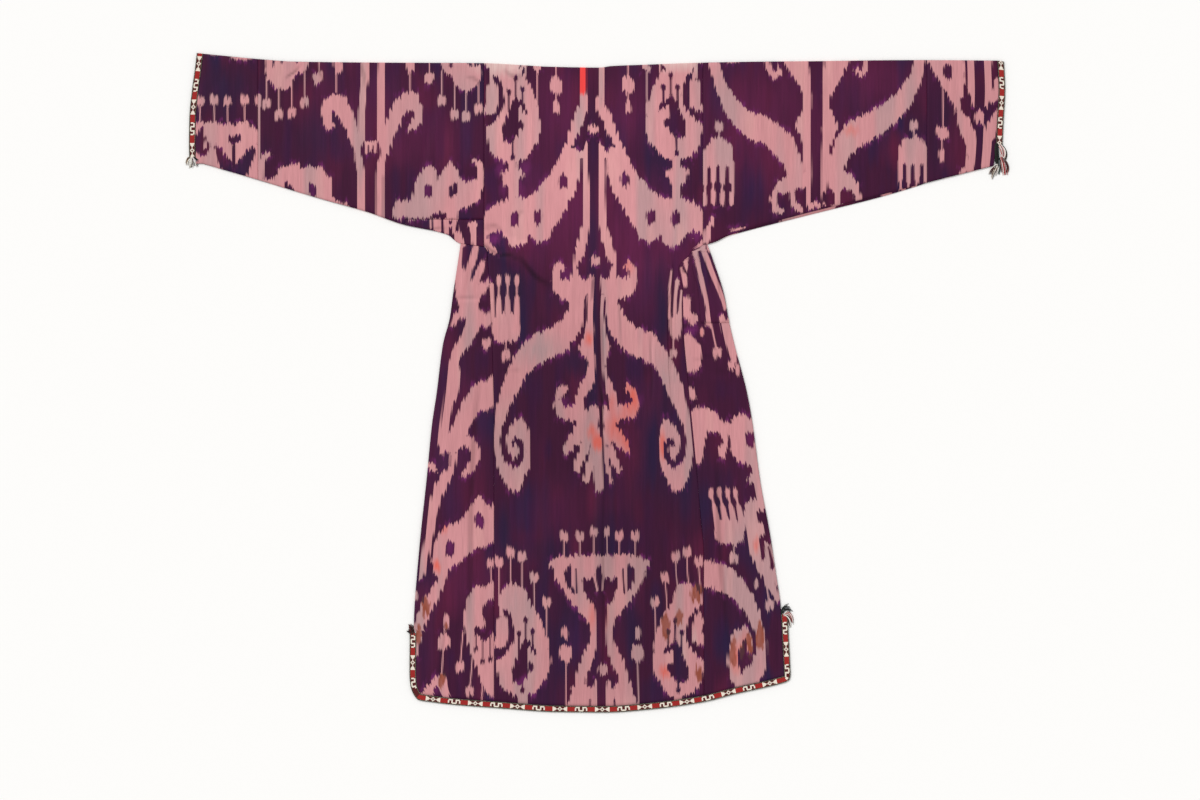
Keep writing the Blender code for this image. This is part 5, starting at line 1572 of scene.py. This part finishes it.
def strands(name, locks):
    """A tassel of loose strands in a few locks. The middle line of a lock is the parabola
    drawn by its root, bend and end, and a strand lies beside it by a share of the lock's
    breadth, wavers by a sine and sinks to the ground. Each strand is a closed tube."""
    source = np.random.default_rng(len(name))
    steps, sides = STRAND_STEPS, STRAND_SIDES
    t = np.linspace(0, 1, steps)[None, :]
    lines, dyes = [], []
    for *points, breadth_0, breadth_1, breadth_2, count, shades in locks:
        points = np.array(points, dtype=float).reshape(3, 2)
        share = (np.arange(count) + source.uniform(0, 1, count)) / count - 0.5
        reached = t * source.uniform(*STRAND_LENGTH, (count, 1))
        middle = parabola(reached) @ points
        run = unit(np.gradient(middle, axis=1))
        breadth = parabola(t) @ np.array((breadth_0, breadth_1, breadth_2), dtype=float)
        turns = source.uniform(*STRAND_REACH, (count, 1))
        waver = source.uniform(*STRAND_WAVER, (count, 1))
        waver = waver * np.sin(t * turns + share[:, None] * 40) * t
        beside = share[:, None] * breadth + waver
        x = (middle[..., 0] - run[..., 1] * beside - CHART_MIDDLE) * CHART_UNIT
        y = TOP_Y - (middle[..., 1] + run[..., 0] * beside - CHART_TOP) * CHART_UNIT
        top = source.uniform(*STRAND_ROOT, (count, 1))
        arch = source.uniform(*STRAND_ARCH, (count, 1)) * np.sin(math.pi * t) ** 2
        height = STRAND_REST + (top - STRAND_REST) * (1 - t) ** 0.8 + arch
        lines.append(np.stack((x, y, height), axis=-1))
        tints = np.array([tint(shade) for shade in shades])
        odd = source.uniform(0, 1, count) > ODD_STRANDS
        dyes.append(tints[(np.arange(count) // 2 + odd) % len(shades)])
    middle, dye = np.concatenate(lines), np.concatenate(dyes)
    count = len(middle)
    run = unit(np.gradient(middle, axis=1))
    level = unit(np.cross(run, (0.0, 0.0, 1.0)))
    upright = np.cross(level, run)
    radius = source.uniform(*STRAND_RADIUS, (count, 1, 1, 1))
    radius = radius * (1 - STRAND_TAPER * t ** 3)[..., None, None]
    angle = np.linspace(0, 2 * math.pi, sides, endpoint=False)[None, None, :, None]
    spokes = np.cos(angle) * level[:, :, None, :] + np.sin(angle) * upright[:, :, None, :]
    ring = middle[:, :, None, :] + radius * spokes
    number = np.arange(count * steps * sides).reshape(count, steps, sides)
    after = np.roll(number, -1, axis=2)
    walls = np.stack((number[:, :-1], number[:, 1:], after[:, 1:], after[:, :-1]), axis=-1)
    ends = [number[:, at][:, corner] for at, corner in (
        (0, (0, 1, 2, 3)), (0, (0, 3, 4, 5)), (-1, (3, 2, 1, 0)), (-1, (5, 4, 3, 0)))]
    quads = np.concatenate((walls.reshape(count, -1, 4), np.stack(ends, axis=1)), axis=1)
    data = mesh_of(f"{name}_threads", ring * MM, quads)
    carry(data, "strand_dye", np.broadcast_to(dye[:, None, None, :], (*quads.shape, 3)))
    place = np.stack((quads // sides % steps, quads % sides), axis=-1) / (1.0, sides)
    lay(data, "along_and_round", place)
    made = piece(data.name, data, THREAD)
    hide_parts(name)


class Finish:
    """A material and a short way to lay out its nodes."""

    def __init__(self, name, roughness, sheen=0.0, sheen_roughness=0.4, specular=0.5):
        self.material = bpy.data.materials.new(name)
        self.material.use_nodes = True
        self.nodes = self.material.node_tree.nodes
        self.links = self.material.node_tree.links
        self.shader = self.nodes["Principled BSDF"]
        self.shader.inputs["Roughness"].default_value = roughness
        self.shader.inputs["Sheen Weight"].default_value = sheen
        self.shader.inputs["Sheen Roughness"].default_value = sheen_roughness
        self.shader.inputs["Specular IOR Level"].default_value = specular

    def give(self, socket, value):
        """Link a node's output, or set a plain value, on a socket."""
        if hasattr(value, "links"):
            self.links.new(value, socket)
        elif value is not None:
            socket.default_value = value

    def math(self, operation, first, second=None):
        """Result of one operation on one or two values."""
        node = self.nodes.new("ShaderNodeMath")
        node.operation = operation
        for socket, value in zip(node.inputs, (first, second)):
            self.give(socket, value)
        return node.outputs[0]

    def times(self, first, second):
        return self.math("MULTIPLY", first, second)

    def plus(self, first, second):
        return self.math("ADD", first, second)

    def span(self, value, low, high, to_low=0.0, to_high=1.0):
        """The value carried from one span to another, eased at both ends and held beyond."""
        node = self.nodes.new("ShaderNodeMapRange")
        node.interpolation_type = "SMOOTHSTEP"
        for socket, given in zip(node.inputs, (value, low, high, to_low, to_high)):
            self.give(socket, given)
        return node.outputs[0]

    def mix(self, share, under, over):
        """Two colours blended by a share."""
        node = self.nodes.new("ShaderNodeMix")
        node.data_type = "RGBA"
        self.give(node.inputs[0], share)
        self.give(node.inputs[6], under)
        self.give(node.inputs[7], over)
        return node.outputs[2]

    def attribute(self, name, output="Fac"):
        """What the mesh carries by this name: a number, or a colour from the output Color."""
        node = self.nodes.new("ShaderNodeAttribute")
        node.attribute_name = name
        return node.outputs[output]

    def place(self, scale, layer=None):
        """Place on the piece, scaled: its Object place, or its own UV map if one is named."""
        if layer:
            source = self.nodes.new("ShaderNodeUVMap")
            source.uv_map = layer
            output = source.outputs[0]
        else:
            output = self.nodes.new("ShaderNodeTexCoord").outputs["Object"]
        node = self.nodes.new("ShaderNodeMapping")
        node.inputs["Scale"].default_value = scale
        self.links.new(output, node.inputs["Vector"])
        return node.outputs[0]

    def noise(self, place, detail):
        """Soft unevenness about a half, in grains one unit of the place wide."""
        node = self.nodes.new("ShaderNodeTexNoise")
        node.inputs["Scale"].default_value = 1.0
        node.inputs["Detail"].default_value = detail
        self.links.new(place, node.inputs["Vector"])
        return node.outputs[0]

    def scaled(self, colour, share):
        """A colour made lighter or darker by a share."""
        node = self.nodes.new("ShaderNodeVectorMath")
        node.operation = "SCALE"
        self.links.new(colour, node.inputs[0])
        self.links.new(share, node.inputs["Scale"])
        return node.outputs[0]

    def split(self, place):
        """The first two numbers of a place."""
        node = self.nodes.new("ShaderNodeSeparateXYZ")
        self.links.new(place, node.inputs[0])
        return node.outputs[0], node.outputs[1]

    def bump(self, height, distance, strength):
        """Fine relief, as high as the distance in metres."""
        node = self.nodes.new("ShaderNodeBump")
        node.inputs["Distance"].default_value = distance
        node.inputs["Strength"].default_value = strength
        self.links.new(height, node.inputs["Height"])
        self.links.new(node.outputs[0], self.shader.inputs["Normal"])

    def colour(self, value):
        """The finished material, in this colour."""
        self.give(self.shader.inputs["Base Color"], value)
        return self.material


def plain(name):
    """A dye as a plain colour for a socket."""
    return (*(float(part) for part in tint(name)), 1.0)


def silk_ikat():
    """Fine ribbed silk: the figures' edge runs in and out by single threads, the dye creeps
    past the ends of the figures, and warp threads and weft ribs, a sine down the cloth, stand
    out a little."""
    finish = Finish("silk_ikat", 0.48, sheen=0.04, sheen_roughness=0.3, specular=0.1)
    thread = finish.noise(finish.place((1500, 55, 1)), 2.0)
    depth, tip = finish.attribute("depth"), finish.attribute("tip")
    ragged = finish.times(finish.math("SUBTRACT", thread, 0.5), finish.times(tip, 4.6))
    edge = finish.plus(depth, ragged)
    figure = finish.span(edge, -0.55, 0.55)
    crept = finish.times(finish.span(edge, -6.5, -0.6), finish.span(edge, 1.2, -0.2))
    crept = finish.times(crept, finish.span(tip, 0.3, 0.85))
    patchy = finish.span(finish.noise(finish.place((90, 28, 1)), 2.0), 0.42, 0.66, 0.0, 0.8)
    ground = finish.mix(finish.times(crept, patchy), finish.attribute("ground_dye_and_shade", "Color"),
                        plain("magenta"))
    dyed_and_shaded_cloth = finish.mix(figure, ground, finish.attribute("figure_dye_and_shade", "Color"))
    worn = finish.span(finish.noise(finish.place((1900, 26, 1)), 2.0), 0.3, 0.7, 0.9, 1.09)
    _, up = finish.split(finish.place((1, 1, 1)))
    rib = finish.math("SINE", finish.times(up, RIB_TURN))
    relief = finish.plus(finish.times(rib, 0.5), finish.times(thread, 0.8))
    finish.bump(relief, 0.00008, 0.6)
    return finish.colour(finish.scaled(dyed_and_shaded_cloth, worn))


def woven_edging():
    """Flat band of red silk with pale figures, between cords of twisted green and pale ply."""
    finish = Finish("woven_edging", 0.62, sheen=0.06, specular=0.2)
    along, across = finish.split(finish.place((1, 1, 1), "along_and_across"))
    uneven = finish.noise(finish.place((0.9, 1.1, 1), "along_and_across"), 2.0)
    red = finish.mix(finish.span(uneven, 0.35, 0.68), plain("brick"), plain("madder"))
    red = finish.mix(finish.attribute("round_figure"), red, plain("maroon"))
    pale = finish.mix(finish.span(uneven, 0.3, 0.7), plain("shell"), plain("white_silk"))
    band = finish.mix(finish.attribute("pale"), red, pale)
    turn = finish.plus(finish.math("DIVIDE", along, PLY_ALONG),
                       finish.math("DIVIDE", across, PLY_ACROSS))
    ply = finish.math("PINGPONG", finish.math("FRACT", turn), 0.5)
    speck = finish.noise(finish.place((0.42, 0.5, 1), "along_and_across"), 1.0)
    light_ply = finish.times(finish.span(ply, 0.3, 0.44), finish.span(speck, 0.35, 0.6, 0.12, 0.75))
    cord = finish.mix(light_ply, plain("pine"), plain("bone"))
    look = finish.mix(finish.attribute("cord"), band, cord)
    rib = finish.math("SINE", finish.times(along, 2 * math.pi / WEFT_PITCH))
    cord_rise = finish.times(finish.times(ply, 5.0), finish.attribute("cord"))
    relief = finish.plus(finish.times(rib, 0.35), cord_rise)
    finish.bump(relief, 0.00015, 0.8)
    return finish.colour(look)


def twisted_thread():
    """Tassel thread: its own dye, with painted shade between the turns of the ply and a painted
    highlight on their crests.
    """
    finish = Finish("twisted_thread", 0.7, sheen=0.08, specular=0.2)
    along, around = finish.split(finish.place((1, 1, 1), "along_and_round"))
    turn = finish.plus(finish.times(along, 0.9), around)
    ply = finish.math("PINGPONG", finish.math("FRACT", turn), 0.5)
    shade = finish.span(ply, 0.0, 0.25, 0.62, 1.1)
    finish.bump(ply, 0.0002, 0.7)
    return finish.colour(finish.scaled(finish.attribute("strand_dye", "Color"), shade))


def studio():
    """Plain pale floor, soft light and a camera straight above the robe."""
    finish = Finish("pale_floor", 0.9, specular=0.1)
    speck = finish.span(finish.noise(finish.place((30, 30, 1)), 2.0), 0.3, 0.7, 0.985, 1.0)
    data = bpy.data.meshes.new("pale_floor")
    corner_signs = ((-1, -1), (1, -1), (1, 1), (-1, 1))
    data.from_pydata([(FLOOR_HALF * x, FLOOR_HALF * y, FLOOR_LEVEL) for x, y in corner_signs],
                     [], [(0, 1, 2, 3)])
    data.materials.append(finish.colour(finish.mix(speck, FLOOR_SHADE, FLOOR_LIGHT)))
    floor = bpy.data.objects.new("pale_floor", data)
    bpy.context.scene.collection.objects.link(floor)

    world = bpy.data.worlds.new("soft_room")
    bpy.context.scene.world = world
    world.use_nodes = True
    sky = world.node_tree.nodes["Background"]
    sky.inputs["Color"].default_value = (1.0, 1.0, 1.0, 1.0)
    sky.inputs["Strength"].default_value = ROOM_LIGHT
    light = bpy.data.lights.new("high_left", "SUN")
    light.energy = LAMP_LIGHT
    light.angle = math.radians(LAMP_SPREAD)
    lamp = bpy.data.objects.new("high_left", light)
    lamp.rotation_euler = Vector(LAMP_SHINES).to_track_quat("-Z", "Y").to_euler()
    bpy.context.scene.collection.objects.link(lamp)

    lens = bpy.data.cameras.new("camera")
    lens.lens = 100
    lens.sensor_width = 36
    lens.clip_end = 50
    camera = bpy.data.objects.new("camera", lens)
    camera.location = CAMERA_AT
    bpy.context.scene.collection.objects.link(camera)
    bpy.context.scene.camera = camera
    bpy.context.scene.view_settings.view_transform = "Standard"


IKAT = silk_ikat()
EDGING = woven_edging()
THREAD = twisted_thread()

back = back_panel()
hands = ("left", "right")
fronts = {side: front_panel(side) for side in hands}
gores = {(layer, side): gore(layer, side) for layer in ("back", "front") for side in hands}
gore_patch(gores["back", "right"])
sleeves()
gusset()
body_edgings(back, gores, fronts)
end_left, end_right = CUFF_TRIM_ENDS
cuff_edging("trim_cuff_left", cuff_left, shifted(cuff_left, TRIM_WIDTH), end_left, True)
cuff_edging("trim_cuff_right", shifted(cuff_right, -TRIM_WIDTH), cuff_right, end_right, False)
for node, locks in TASSELS.items():
    strands(node, locks)
studio()
